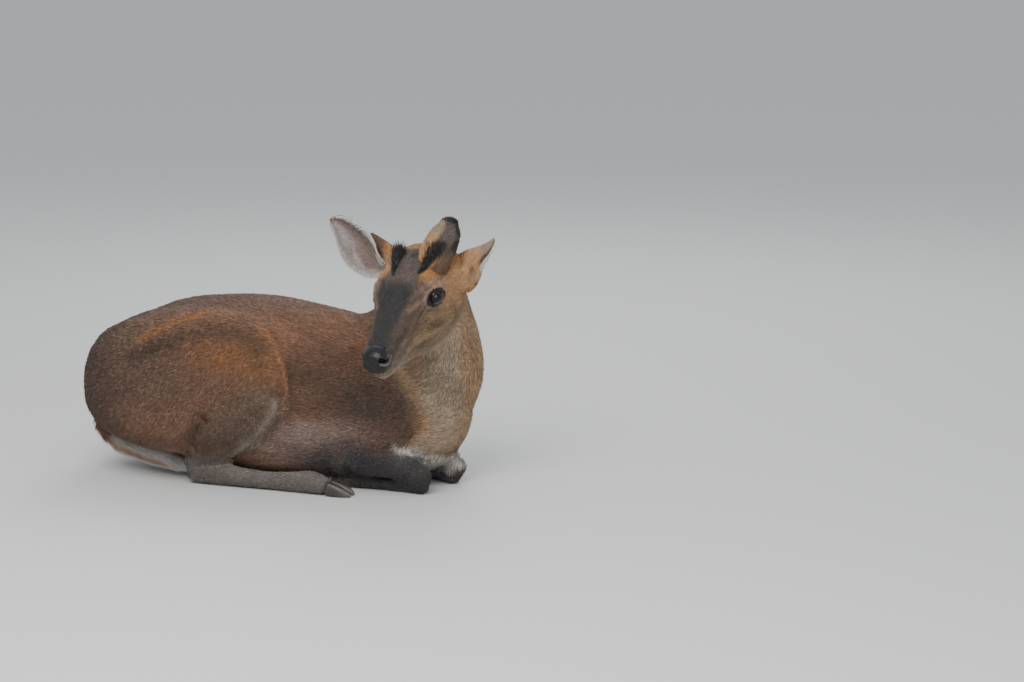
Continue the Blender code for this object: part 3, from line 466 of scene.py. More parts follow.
def headRelief(points):
    # how far the head's skin rises or sinks about eyes, brows, cheeks, mouth and tear slits
    p = bothSides(points)
    d, near = eyeDistance(p, eye["socket"])
    rise = np.where(near, 0.0030 * np.exp(-(d / 1.8) ** 2) + 0.0020 * np.exp(-((d - 1.12) / 0.26) ** 2)
                    - 0.0070 * np.exp(-(d / 0.80) ** 4), 0)
    rise += 0.0030 * blob(p, (0.000, 0.038, 0.028), (0.020, 0.012, 0.008))      # brow
    rise += 0.0040 * blob(p, (-0.040, 0.046, -0.032), (0.032, 0.020, 0.026))    # cheek
    rise += 0.0015 * blob(p, (0.000, 0.045, -0.014), (0.032, 0.020, 0.007))     # cheekbone
    rise -= 0.0020 * blob(p, (0.036, 0.034, -0.022), (0.018, 0.018, 0.012))     # hollow before it
    rise += 0.0015 * blob(p, (0.094, 0.020, -0.024), (0.016, 0.010, 0.008))     # upper lip
    rise += 0.0022 * np.exp(-(pathDistance(p, head["crownRidge"]) / 0.006) ** 2)
    rise -= 0.0020 * np.exp(-(pathDistance(p, head["tearSlit"]) / 0.0022) ** 2)
    rise -= 0.0024 * np.exp(-(pathDistance(p, head["mouth"]) / 0.0018) ** 2)
    return rise


haunchEdge = ((-0.182, -0.118, 0.216), (-0.169, -0.115, 0.229), (-0.140, -0.104, 0.242), (-0.097, -0.083, 0.2545),
              (-0.067, -0.061, 0.257), (-0.023, -0.066, 0.251), (0.019, -0.097, 0.225), (0.043, -0.108, 0.188),
              (0.047, -0.111, 0.151), (0.037, -0.121, 0.125))
hamCrease = ((-0.1035, -0.134, 0.058), (-0.0973, -0.1424, 0.0709), (-0.092, -0.1464, 0.0827), (-0.0837, -0.1482, 0.0942),
             (-0.0751, -0.1487, 0.107))
neckFold = ((0.190, -0.070, 0.190), (0.200, -0.071, 0.174), (0.216, -0.074, 0.148), (0.2265, -0.072, 0.131),
            (0.233, -0.069, 0.114), (0.2385, -0.066, 0.100))
shankSwell = ((-0.010, -0.134, 0.135), (-0.035, -0.140, 0.110), (-0.062, -0.140, 0.085))


def rightSide(points):
    # the points folded over to the animal's right side
    return np.stack((points[:, 0], -np.abs(points[:, 1]), points[:, 2]), 1)


def bodyRelief(points):
    # how far the body's skin sinks along its folds and swells over the shank
    p = rightSide(points)
    rise = -0.0022 * np.exp(-(pathDistance(p, haunchEdge) / 0.0050) ** 2)
    rise -= 0.0120 * np.exp(-(pathDistance(p, hamCrease) / 0.0070) ** 2)
    rise -= 0.0060 * np.exp(-(pathDistance(p, neckFold) / 0.0080) ** 2)
    return rise + 0.0035 * np.exp(-(pathDistance(p, shankSwell) / 0.020) ** 2)


def readMasses(points):
    # how near each point is to each mass, in the mass's own half sizes, where along and around it
    # the point lies, and which way the hair lies there
    near, chart, lies = [], [], []
    for mass in masses.values():
        index = np.empty(len(points), int)
        for start in range(0, len(points), 20000):
            block = points[start:start + 20000]
            gap = ((block[:, None] - mass["centre"][None]) ** 2).sum(-1)
            index[start:start + 20000] = gap.argmin(1)
        away = points - mass["centre"][index]
        a = (away * mass["side"][index]).sum(1)
        b = (away * mass["up"][index]).sum(1)
        t = (away * mass["tangent"][index]).sum(1)
        tall = np.where(b > 0, mass["rise"][index], mass["drop"][index])
        wide = mass["width"][index]
        past = np.maximum(np.abs(t) - 0.008, 0) / np.minimum(wide, tall)
        near.append(np.sqrt((a / wide) ** 2 + (b / tall) ** 2 + past ** 2))
        chart.append(np.stack((index / len(mass["centre"]), np.arctan2(b / tall, a / wide) / (2 * math.pi) + 0.5), 1))
        if isinstance(mass["lie"], tuple):
            lies.append(np.repeat(unit(mass["lie"])[None], len(points), 0))
        else:
            lies.append(mass["tangent"][index] * mass["lie"])
    near = np.stack(near, 1)
    weight = np.exp(-9 * (near - near.min(1, keepdims=True)))
    weight /= weight.sum(1, keepdims=True)
    return weight, np.stack(chart, 1), np.einsum("nm,nmk->nk", weight, np.stack(lies, 1))


regions = ("trunk", "neck", "haunch_right", "haunch_left", "shoulder", "leg", "face")


def regionWeights(weight):
    # the weights of the masses added up by region
    return {region: sum(weight[:, i] for i, mass in enumerate(masses.values()) if mass["region"] == region)
            for region in regions}


skinPlan = {
    "voxel": 0.0036,
    "softening": 12,
    "depth": {"trunk": 0.0018, "neck": 0.0020, "haunch_right": 0.0018, "haunch_left": 0.0018,
              "shoulder": 0.0016, "leg": 0.0010, "face": 0.0006},     # how far the skin lies under the coat's tips
}


def neighbourMean(mesh, points, chosen, rounds):
    # moves the chosen points half way to the mean of their neighbours, some rounds over
    edges = np.empty(len(mesh.edges) * 2, np.int32)
    mesh.edges.foreach_get("vertices", edges)
    a, b = edges.reshape(-1, 2).T
    count = np.bincount(a, minlength=len(points)) + np.bincount(b, minlength=len(points))
    for _ in range(rounds):
        total = np.stack([np.bincount(a, points[b, k], len(points)) + np.bincount(b, points[a, k], len(points))
                          for k in range(3)], 1)
        points = points + (total / count[:, None] - points) * 0.5 * chosen[:, None]
    return points


def readPoints(mesh):
    points = np.empty(len(mesh.vertices) * 3, np.float32)
    normals = np.empty(len(mesh.vertices) * 3, np.float32)
    mesh.vertices.foreach_get("co", points)
    mesh.vertex_normals.foreach_get("vector", normals)
    return points.reshape(-1, 3).astype(float) - shift, normals.reshape(-1, 3).astype(float)


def writePoints(mesh, points):
    mesh.vertices.foreach_set("co", (points + shift).astype(np.float32).ravel())
    mesh.update()


def makeSkin():
    # the masses fused into one skin, finer over the head, which then takes its relief,
    # and drawn in by the depth of the coat
    first, points, quads, fans = 0, [], [], []
    for mass in masses.values():
        points.append(mass["points"])
        quads.append(mass["faces"][0] + first)
        fans.append(mass["faces"][1] + first)
        first += len(mass["points"])
    mesh = buildMesh("skin", np.concatenate(points), np.concatenate(quads), np.concatenate(fans))
    turnOutward(mesh)
    made = bpy.data.objects.new("skin", mesh)
    bpy.context.scene.collection.objects.link(made)
    remesh = made.modifiers.new("Fuse", "REMESH")
    remesh.mode = "VOXEL"
    remesh.voxel_size = skinPlan["voxel"]
    soften = made.modifiers.new("Soften", "SMOOTH")
    soften.factor = 0.5
    soften.iterations = skinPlan["softening"]
    graph = bpy.context.evaluated_depsgraph_get()
    mesh = bpy.data.meshes.new_from_object(made.evaluated_get(graph))
    bpy.data.objects.remove(made)

    work = bmesh.new()
    work.from_mesh(mesh)
    places = toHead(np.array([v.co for v in work.verts]) - shift)
    onHead = (places[:, 0] > -0.060) & (places[:, 0] < 0.16) & (np.abs(places[:, 1]) < 0.07) & (places[:, 2] > -0.125)
    fine = [edge for edge in work.edges if onHead[edge.verts[0].index] and onHead[edge.verts[1].index]]
    bmesh.ops.subdivide_edges(work, edges=fine, cuts=1, use_grid_fill=True)
    bmesh.ops.triangulate(work, faces=[face for face in work.faces if len(face.verts) > 4])
    work.to_mesh(mesh)
    work.free()

    points, normals = readPoints(mesh)
    place = toHead(points)
    onHead = ((place[:, 0] > -0.062) & (np.abs(place[:, 1]) < 0.072) & (place[:, 2] > -0.125)).astype(float)
    points = neighbourMean(mesh, points, onHead, 3)
    writePoints(mesh, points)
    points, normals = readPoints(mesh)
    weight, _, _ = readMasses(points)
    share = regionWeights(weight)
    depth = sum(share[region] * skinPlan["depth"][region] for region in regions)
    faceShare = ramp(share["face"], 0.2, 0.6)
    lift = headRelief(toHead(points)) * faceShare + bodyRelief(points) * (1 - faceShare) - depth
    points = points + normals * lift[:, None]
    points[:, 2] = np.maximum(points[:, 2], 0.0008)
    writePoints(mesh, points)
    mesh.shade_smooth()
    return mesh


skinMesh = makeSkin()
print("skin fused:", len(skinMesh.vertices), "points")


# Markings, shared by the skin and the coat

shade = {
    "russet": (0.230, 0.118, 0.070),
    "grey": (0.168, 0.112, 0.086),
    "dark": (0.062, 0.043, 0.034),
    "orange": (0.345, 0.150, 0.045),
    "rump": (0.110, 0.076, 0.062),
    "haunch": (0.165, 0.096, 0.064),
    "ham": (0.290, 0.165, 0.108),
    "belly": (0.320, 0.228, 0.190),
    "shank": (0.148, 0.104, 0.076),
    "leg": (0.160, 0.141, 0.126),
    "elbow": (0.056, 0.051, 0.052),
    "pale": (0.350, 0.290, 0.225),
    "white": (0.720, 0.690, 0.650),
    "throat": (0.400, 0.310, 0.220),
    "neckSide": (0.385, 0.258, 0.157),
    "neckOrange": (0.480, 0.275, 0.142),
    "nape": (0.190, 0.128, 0.088),
    "slate": (0.043, 0.040, 0.042),
    "faceBrown": (0.105, 0.076, 0.062),
    "innerTan": (0.245, 0.155, 0.108),
    "smudge": (0.125, 0.082, 0.050),
    "black": (0.012, 0.011, 0.011),
    "crown": (0.128, 0.099, 0.082),
    "foreheadOrange": (0.430, 0.205, 0.074),
    "temple": (0.520, 0.310, 0.163),
    "eyeRing": (0.360, 0.260, 0.200),
    "cheek": (0.275, 0.182, 0.106),
    "cheekLight": (0.400, 0.272, 0.160),
    "muzzle": (0.185, 0.148, 0.122),
    "cream": (0.360, 0.320, 0.255),
}


def mottle(points, size, seed=0):
    # smooth noise from -1 to 1: scattered numbers on a lattice, eased between its corners
    q = points / size + 200.0
    base = np.floor(q).astype(np.int64)
    f = q - base
    f = f * f * (3 - 2 * f)
    total = np.zeros(len(points))
    for corner in itertools.product((0, 1), repeat=3):
        n = base + np.array(corner)
        mixed = (n[:, 0] * 73856093) ^ (n[:, 1] * 19349663) ^ (n[:, 2] * 83492791) ^ (seed * 2654435)
        mixed = (mixed * 2246822519) & 0xFFFFFFFF
        mixed = ((mixed ^ (mixed >> 13)) * 3266489917) & 0xFFFFFFFF
        total += np.prod(np.where(np.array(corner) == 1, f, 1 - f), 1) * (mixed / 2147483648.0 - 1)
    return total


def tint(colour, name, amount):
    # moves a colour towards a named shade by the amount
    amount = np.clip(amount, 0, 1)[:, None]
    return colour * (1 - amount) + np.array(shade[name]) * amount


def bodyColour(p):
    # back and flank, rump, ham, belly, shoulder and elbow, by place; the shoulder and the flank before the haunch fold
    # are darkened partly as painted shade
    side = np.stack((p[:, 0], p[:, 2]), 1)
    outer = ramp(np.abs(p[:, 1]), 0.03, 0.07)
    colour = np.repeat(np.array(shade["russet"])[None], len(p), 0)
    colour = tint(colour, "grey", ramp(p[:, 2], 0.235, 0.272) * 0.75 + mottle(p, 0.05, 1) * 0.12)
    colour = tint(colour, "grey", ramp(-p[:, 0], 0.08, 0.20) * 0.55)
    # the flank before the haunch fold darkened: partly darker hair, partly painted shadow of the fold
    colour = tint(colour, "dark", blob(side, (0.090, 0.170), (0.050, 0.055)) * outer * 0.60)
    # the shoulder darkened: partly darker hair, partly painted shade
    colour = tint(colour, "dark", blob(side, (0.165, 0.140), (0.060, 0.060)) * outer * 0.95)
    colour = tint(colour, "rump", blob(side, (0.215, 0.125), (0.030, 0.045)) * outer * 0.7)
    colour = tint(colour, "belly", ramp(-p[:, 2], -0.125, -0.090) * blob(side, (0.085, 0.085), (0.075, 0.060)))
    colour = tint(colour, "rump", ramp(-p[:, 0], 0.17, 0.27) * 0.8)
    return tint(colour, "elbow", blob(side, (0.140, 0.045), (0.080, 0.034)) * 1.2)


haunchHollow = ((-0.190, 0.195), (-0.160, 0.210), (-0.120, 0.224), (-0.070, 0.234), (-0.025, 0.232), (0.005, 0.212))
shankStripe = ((0.0319, -0.1242, 0.1361), (0.0277, -0.1299, 0.1204), (0.0179, -0.1300, 0.1032), (0.0032, -0.1300, 0.0856),
               (-0.0151, -0.1292, 0.0706), (-0.0299, -0.1251, 0.0582))


def haunchColour(p, colour):
    # a thin orange line along the fold, darker hair under it deepened by painted shade in the hollow there, a narrow
    # painted shadow before the fold's front end, an orange patch inside, a paler ham and painted shade in the ham's
    # crease
    q = rightSide(p)
    side = np.stack((p[:, 0], p[:, 2]), 1)
    outer = ramp(np.abs(p[:, 1]), 0.04, 0.075)
    away = pathDistance(q, haunchEdge)
    upper = ramp(-p[:, 0], 0.02, 0.07)
    colour = tint(colour, "grey", blob(side, (-0.140, 0.170), (0.080, 0.060)) * outer * 0.6)
    colour = tint(colour, "ham", blob(side, (-0.140, 0.085), (0.070, 0.040)) * outer * 0.8)
    # darker hair under the fold, deepened by painted shade in the hollow there
    colour = tint(colour, "dark", np.exp(-(pathDistance(side, haunchHollow) / 0.012) ** 2) * outer * 0.65)
    colour = tint(colour, "orange", blob(side, (-0.055, 0.205), (0.050, 0.022)) * outer * (0.38 + 0.2 * mottle(p, 0.016, 17)))
    colour = tint(colour, "orange", blob(side, (0.005, 0.170), (0.030, 0.035)) * outer * 0.25)
    colour = tint(colour, "orange", np.exp(-(away / (0.0030 + 0.0034 * upper)) ** 2) * outer * (0.60 + 0.18 * upper))
    # a narrow painted shadow on the flank just before the front end of the haunch fold
    colour = tint(colour, "dark", np.exp(-((p[:, 0] - 0.056) / 0.010) ** 2) * blob(side, (0.056, 0.150), (0.03, 0.05))
                  * outer * 0.5)
    # painted shade in the crease between ham and shank
    return tint(colour, "dark", np.exp(-(pathDistance(q, hamCrease) / 0.0090) ** 2) * 0.8)


def legColour(p):
    # grey-brown shank, paler cannons, dark forearms, and a white spot on the left knee
    colour = np.repeat(np.array(shade["leg"])[None], len(p), 0)
    colour = tint(colour, "shank", ramp(p[:, 2], 0.035, 0.060) * 0.9)
    colour = tint(colour, "elbow", ramp(p[:, 0], 0.100, 0.150) * 0.95)
    return tint(colour, "white", blob(p, (0.2725, 0.005, 0.036), (0.009, 0.011, 0.008)) * 1.2)


neckPale = ((-0.0439, 0.0411, -0.0813), (-0.0304, 0.0432, -0.1117), (-0.0177, 0.0423, -0.1479), (-0.0107, 0.0386, -0.1781))
neckBrown = ((-0.0427, 0.0445, -0.0987), (-0.0352, 0.0464, -0.1274), (-0.0317, 0.0458, -0.1553), (-0.0312, 0.0394, -0.1845))
neckRim = ((-0.0690, 0.0440, -0.0900), (-0.0661, 0.0424, -0.1099), (-0.0464, 0.0455, -0.1493), (-0.0430, 0.0440, -0.1850))
throatLine = ((0.266, -0.056, 0.245), (0.272, -0.050, 0.200), (0.270, -0.046, 0.155), (0.268, -0.046, 0.115),
              (0.258, -0.048, 0.080))


def neckColour(p):
    # pale throat that faces the side the head turns to, orange along its front edge and a brown nape
    colour = np.repeat(np.array(shade["neckSide"])[None], len(p), 0)
    colour = tint(colour, "nape", ramp(0.225 - p[:, 0] + 0.25 * (p[:, 2] - 0.2), 0.0, 0.05) * 0.8)
    colour = tint(colour, "throat", np.exp(-(pathDistance(p, throatLine) / 0.034) ** 4) * 0.95)
    colour = tint(colour, "neckOrange", blob(p, (0.243, -0.063, 0.103), (0.014, 0.020, 0.020)) * 0.8)
    h = toHead(p)
    colour = tint(colour, "neckOrange", np.exp(-(pathDistance(h, neckPale) / 0.0090) ** 2) * 0.6)
    colour = tint(colour, "ham", np.exp(-(pathDistance(h, neckBrown) / 0.0075) ** 2) * 0.75)
    return tint(colour, "neckOrange", np.exp(-(pathDistance(h, neckRim) / 0.0075) ** 2) * 0.7)


bridge = ((-0.01, 0.02, 0.045, 0.072, 0.100), (-0.005, -0.005, -0.0035, -0.0025, 0.0015),
          (0.0285, 0.0300, 0.0260, 0.0190, 0.0165))          # x, middle, half width
stripes = (((-0.010, 0.0238, 0.0380), (-0.020, 0.0258, 0.0385), (-0.030, 0.0274, 0.0388), (-0.050, 0.0290, 0.0375)),
           ((-0.001, -0.0158, 0.0378), (-0.017, -0.0190, 0.0398), (-0.035, -0.0238, 0.0400), (-0.059, -0.0325, 0.0332)))
faceMarks = (                    # shade, strength, half width, path on the head's left side
    ("faceBrown", 0.70, 0.0060, ((0.020, 0.044, 0.004), (0.034, 0.0375, 0.002), (0.052, 0.030, -0.008), (0.072, 0.027, -0.018))),
    ("smudge", 0.65, 0.0060, ((0.026, 0.0386, -0.030), (0.004, 0.0422, -0.045))),
    ("smudge", 0.45, 0.0070, ((-0.021, 0.053, -0.030), (-0.026, 0.047, -0.056))),
    ("smudge", 0.45, 0.0060, ((-0.056, 0.053, -0.035), (-0.068, 0.043, -0.054))),
    ("smudge", 0.55, 0.0060, ((0.057, 0.024, -0.045), (0.032, 0.031, -0.054))),
    ("cheekLight", 0.85, 0.0042, ((0.079, 0.0247, -0.0321), (0.062, 0.0275, -0.0344), (0.046, 0.0307, -0.0385),
                                  (0.0245, 0.0365, -0.0443), (0.004, 0.0404, -0.0514), (-0.011, 0.045, -0.0525))),
    ("cheekLight", 0.50, 0.0030, ((0.0886, 0.0245, -0.0130), (0.070, 0.0282, -0.0174))),
    ("cheekLight", 0.55, 0.0050, ((0.024, 0.042, -0.012), (0.006, 0.0455, -0.0240))),
    ("innerTan", 0.85, 0.0040, ((0.047, 0.0257, 0.0141), (0.034, 0.0336, 0.0152), (0.0226, 0.0426, 0.0166))),
    ("innerTan", 0.70, 0.0060, ((0.015, 0.037, 0.026), (0.006, 0.040, 0.028))),
    ("faceBrown", 0.80, 0.0018, ((0.031, 0.0374, 0.0129), (0.048, 0.0316, 0.0064), (0.067, 0.0247, 0.0045))),
    ("black", 0.75, 0.0013, ((0.021, 0.0450, 0.0130), (0.0318, 0.0385, 0.0025), (0.0413, 0.0351, -0.0011))),
    ("foreheadOrange", 0.95, 0.0090, ((-0.0186, 0.0376, 0.0321), (-0.0335, 0.0415, 0.0290), (-0.0502, 0.0441, 0.0242))),
    ("eyeRing", 0.90, 0.0048, ((-0.001, 0.0438, 0.0283), (-0.013, 0.0474, 0.0230), (-0.0158, 0.0513, 0.0142))),
    ("black", 0.65, 0.0030, ((-0.0665, 0.0410, 0.0225), (-0.0475, 0.0484, 0.0178), (-0.0327, 0.0487, 0.0190))),
    ("smudge", 0.60, 0.0022, ((-0.0327, 0.0487, 0.0190), (-0.0190, 0.0487, 0.0203))),
)


def faceColour(points):
    # slate bridge, speckled brow, black stripes up to the pedicles, orange beside them, tan cheeks
    q = toHead(points)
    p = bothSides(q)
    x, y, z = p.T
    colour = np.repeat(np.array(shade["cheek"])[None], len(p), 0)
    drawn = p * np.array([0.45, 1.0, 1.0])
    colour = tint(colour, "cheekLight", mottle(drawn, 0.006, 5) * 0.55 + mottle(drawn, 0.0026, 6) * 0.30)
    colour = tint(colour, "smudge", -mottle(drawn, 0.005, 8) * 0.45)
    colour = tint(colour, "temple", ramp(-x, -0.012, 0.022) * ramp(z, -0.075, -0.010) * 0.95)
    colour = tint(colour, "throat", ramp(-z, 0.070, 0.088) * ramp(-x, -0.09, -0.03) * 0.9)
    colour = tint(colour, "muzzle", ramp(x, 0.060, 0.084) * ramp(z, -0.038, -0.026) * 0.85)
    # the bridge, and the brown between it and the eye
    middle = q[:, 1] - np.interp(x, bridge[0], bridge[1])
    wide = np.interp(x, bridge[0], bridge[2]) + 0.0020 * mottle(q, 0.007, 9) + 0.0012 * mottle(q, 0.0025, 10)
    ahead = ramp(x, -0.016, 0.004)
    over = ramp(z - np.interp(x, (0.0, 0.034, 0.051, 0.072, 0.092, 0.11), (0.022, 0.009, 0.000, -0.008, -0.014, -0.018)),
                -0.004, 0.004)
    colour = tint(colour, "faceBrown", over * ahead * 0.92)
    colour = tint(colour, "slate", ramp(wide + 0.003 - np.abs(middle), 0, 0.010) * ramp(over, 0, 0.5) * ramp(x, -0.018, 0.018))
    colour = tint(colour, "crown", ramp(-x, -0.020, 0.000) * ramp(0.027 - y, 0, 0.005) * ramp(z, 0.015, 0.028))
    colour = tint(colour, "slate", mottle(q, 0.0022, 12) * 0.5 * ramp(-x, -0.02, 0.0) * ramp(0.026 - y, 0, 0.006)
                  * ramp(z, 0.02, 0.03))
    # orange beside the stripes and across the back of the crown
    beside = ramp(-x, -0.008, 0.004) * ramp(z, 0.016, 0.028) * ramp(y, 0.0245, 0.0285)
    colour = tint(colour, "foreheadOrange", beside * 0.85)
    colour = tint(colour, "foreheadOrange", ramp(-x, 0.053, 0.060) * ramp(z, 0.005, 0.025) * 0.9)
    for name, amount, width, path in faceMarks:
        away = pathDistance(p, path) + 0.0010 * mottle(p, 0.0035, 13)
        colour = tint(colour, name, np.exp(-(away / width) ** 2) * amount)
    colour = tint(colour, "slate", np.exp(-(pathDistance(q, ((-0.040, 0.001, 0.043), (-0.047, 0.0135, 0.042))) / 0.0055) ** 2))
    brown = ramp(y, 0.064, 0.080)[:, None]
    colour = colour * (1 - brown) + np.array([[0.150, 0.088, 0.056]]) * brown
    colour = colour * (1 + 0.22 * mottle(drawn, 0.0019, 14) + 0.14 * mottle(drawn, 0.0035, 15))[:, None]
    for stripe in stripes:
        away = pathDistance(q, stripe) + 0.0012 * mottle(q, 0.003, 7)
        wide = np.interp(x, (-0.050, -0.025, 0.000), (0.0062, 0.0048, 0.0026))
        colour = tint(colour, "black", ramp(wide - away, -0.0012, 0.0026) * 0.95)
    # eye ring, lips and chin
    d, near = eyeDistance(p, eye["socket"])
    colour = tint(colour, "eyeRing", near * np.exp(-((d - 1.30) / 0.14) ** 2) * ramp(d, 1.0, 1.2) * 0.6)
    colour = tint(colour, "black", near * ramp(1.16 - d, 0, 0.08))
    colour = tint(colour, "cream", ramp(x, 0.080, 0.096) * ramp(-z, 0.036, 0.041) * 0.65)
    under = ramp(-z - np.interp(x, (0.02, 0.08), (0.074, 0.049)), 0, 0.006)
    colour = tint(colour, "cream", ramp(x, 0.02, 0.07) * under * 0.65)
    return tint(colour, "black", np.exp(-(pathDistance(p, head["mouth"]) / 0.0015) ** 2) * 0.8)


def coatColour(points, share):
    # the whole animal's markings, blended by region, with painted shade in the ham's crease and the fold before the
    # shoulder; before the fold the chest is coloured as the neck is
    trunk = haunchColour(points, bodyColour(points))
    side = np.stack((points[:, 0], points[:, 2]), 1)
    foldAt = np.interp(points[:, 2], (0.06, 0.09, 0.114, 0.131, 0.148, 0.174, 0.190, 0.23),
                       (0.205, 0.240, 0.233, 0.2265, 0.216, 0.200, 0.190, 0.175))
    chest = ramp(points[:, 0] - foldAt, -0.011, 0.011) * ramp(points[:, 2], 0.055, 0.075)
    neck = neckColour(points)
    trunk = trunk * (1 - chest[:, None]) + neck * chest[:, None]
    neck = neck * chest[:, None] + tint(trunk, "nape", 0.35 + 0 * chest) * (1 - chest[:, None])
    colour = (trunk * (share["trunk"] + share["shoulder"] + share["haunch_right"] + share["haunch_left"])[:, None]
              + neck * share["neck"][:, None] + legColour(points) * share["leg"][:, None]
              + faceColour(points) * share["face"][:, None])
    q = rightSide(points)
    colour = tint(colour, "shank", np.exp(-(pathDistance(q, shankSwell) / 0.030) ** 2) * ramp(-q[:, 1], 0.10, 0.12) * 0.75)
    # painted shade deep in the crease between ham and shank
    colour = tint(colour, "black", np.exp(-(pathDistance(q, hamCrease) / 0.0045) ** 2) * 0.9)
    colour = tint(colour, "pale", np.exp(-(pathDistance(q, shankStripe) / 0.0065) ** 2) * 0.60)
    colour = tint(colour, "pale", blob(q, (0.008, -0.118, 0.068), (0.022, 0.018, 0.013)) * 0.60)
    # painted shadow in the fold between neck and shoulder
    colour = tint(colour, "dark", np.exp(-(pathDistance(q, neckFold) / 0.0055) ** 2) * 0.6)
    level = 0.072 - 0.35 * (points[:, 0] - 0.22) + 0.006 * mottle(points, 0.012, 16)
    white = ramp(points[:, 0], 0.200, 0.215) * ramp(level - points[:, 2], -0.010, 0.010) * (1 - share["leg"])
    colour = tint(colour, "white", white * 0.85)
    return colour * (1 + 0.07 * mottle(points, 0.018, 3) + 0.06 * mottle(points, 0.006, 4))[:, None]


# Finishes

def coatMaterial(name, roughness=0.62, sheen=0.05, bumpSize=0.0012, bumpDepth=0.25):
    # hair: the painted colour, broken by fine noise that also lifts the surface
    made = bpy.data.materials.new(name)
    made.use_nodes = True
    nodes, links = made.node_tree.nodes, made.node_tree.links
    shader = nodes["Principled BSDF"]
    shader.inputs["Roughness"].default_value = roughness
    shader.inputs["Specular IOR Level"].default_value = 0.22
    shader.inputs["Sheen Weight"].default_value = sheen
    shader.inputs["Sheen Roughness"].default_value = 0.45
    painted = nodes.new("ShaderNodeAttribute")
    painted.attribute_name = "coatColour"
    place = nodes.new("ShaderNodeTexCoord")
    grain = nodes.new("ShaderNodeTexNoise")
    grain.inputs["Scale"].default_value = 1 / bumpSize
    grain.inputs["Detail"].default_value = 3
    links.new(place.outputs["Object"], grain.inputs["Vector"])
    level = nodes.new("ShaderNodeMapRange")
    level.inputs["From Min"].default_value = 0.3
    level.inputs["From Max"].default_value = 0.7
    level.inputs["To Min"].default_value = 0.78
    level.inputs["To Max"].default_value = 1.22
    links.new(grain.outputs["Fac"], level.inputs["Value"])
    blend = nodes.new("ShaderNodeMix")
    blend.data_type = "RGBA"
    blend.blend_type = "MULTIPLY"
    blend.inputs["Factor"].default_value = 1.0
    links.new(painted.outputs["Color"], blend.inputs[6])
    links.new(level.outputs["Result"], blend.inputs[7])
    links.new(blend.outputs[2], shader.inputs["Base Color"])
    bump = nodes.new("ShaderNodeBump")
    bump.inputs["Strength"].default_value = bumpDepth
    bump.inputs["Distance"].default_value = 0.0006
    links.new(grain.outputs["Fac"], bump.inputs["Height"])
    links.new(bump.outputs["Normal"], shader.inputs["Normal"])
    return made


skinFinish = coatMaterial("under_coat", roughness=0.8, sheen=0.05, bumpDepth=0.6)
coatFinish = coatMaterial("coat_hair")

skinPoints, skinNormals = readPoints(skinMesh)
skinWeight, skinChart, skinLie = readMasses(skinPoints)
skinShare = regionWeights(skinWeight)
paintPoints(skinMesh, coatColour(skinPoints, skinShare) * 0.75)
fleshNodes = ["head", "neck", "torso"] + [f"{part}_{side}" for part in (
    "thigh", "shank", "hind_cannon", "upper_arm", "forearm", "fore_cannon") for side in ("left", "right")]
addPiece("skin", skinMesh, skinFinish, "body_coat", *fleshNodes)
print("skin painted")


# The coat: each tuft is a closed sliver with two root corners, a ridge and a tip

coat = {                         # length, width, lift in degrees, tufts to a square metre
    "trunk": (0.0115, 0.00135, 10, 440e3),
    "neck": (0.0125, 0.00132, 11, 500e3),
    "haunch_right": (0.0110, 0.00130, 10, 440e3),
    "haunch_left": (0.0110, 0.00130, 10, 440e3),
    "shoulder": (0.0100, 0.00125, 10, 440e3),
    "leg": (0.0065, 0.00105, 9, 540e3),
    "face": (0.0042, 0.00062, 11, 1180e3),
}
tuftFaces = np.array([(0, 3, 2), (1, 2, 3), (0, 2, 1), (0, 1, 3)])
tuftsPerPiece = 48000


def tuftMesh(name, corners, faces, colours, charts):
    # n tufts of k points each, with their colours, and an OFBake map in which each tuft is a small
    # patch at its root's place on the unwrap
    n, k = corners.shape[:2]
    corners[..., 2] = np.maximum(corners[..., 2], 0.0003)
    allFaces = (faces[None] + (np.arange(n) * k)[:, None, None]).reshape(-1, 3)
    mesh = buildMesh(name, corners, allFaces)
    paintPoints(mesh, colours.reshape(-1, 3))
    spot = np.stack((np.linspace(0, 1, k), np.arange(k) % 2), 1) * 0.003
    spots = (charts[:, None] * 0.994 + spot[None]).reshape(-1, 2)
    layer = mesh.uv_layers.new(name="OFBake")
    corner = np.empty(len(mesh.loops), np.int32)
    mesh.loops.foreach_get("vertex_index", corner)
    layer.data.foreach_set("uv", spots[corner].astype(np.float32).ravel())
    return mesh


def hairTones(colour, roots, lie, spread=0.17, streak=0.0028):
    # roots darker, tips lighter, with a few dark and a few pale hairs, and streaks drawn out along the lie
    n = len(colour)
    along = (roots * lie).sum(1)[:, None] * lie
    drawn = mottle(roots - along * 0.78, streak, 41) + 0.6 * mottle(roots - along * 0.70, streak * 2.6, 42)
    level = np.exp(draw.normal(0, spread, n) + 0.20 * drawn)[:, None]
    warm = 1 + draw.normal(0, 0.05, (n, 1)) * np.array([1.0, 0.2, -0.8])
    base = colour * level * warm
    kind = draw.random(n)[:, None]
    tip = base * np.where(kind < 0.18, 0.40, np.where(kind > 0.82, 1.75, 1.15))
    return base * 0.50, base * 0.95, tip


def sliverTufts(roots, normals, lie, length, width, lift):
    # tip = root + lie * length * cos(lift) + normal * length * sin(lift), with a ridge a third of the way
    right = np.cross(normals, lie)
    sink = 0.0006
    half = right * (width / 2)[:, None]
    low = roots - normals * sink
    flat, rise = (length * np.cos(lift))[:, None], (length * np.sin(lift))[:, None]
    ridge = roots + lie * flat * 0.35 + normals * (rise * 0.42 + width[:, None] * 0.30)
    tip = roots + lie * flat + normals * rise
    return np.stack((low - half, low + half, ridge, tip), 1)


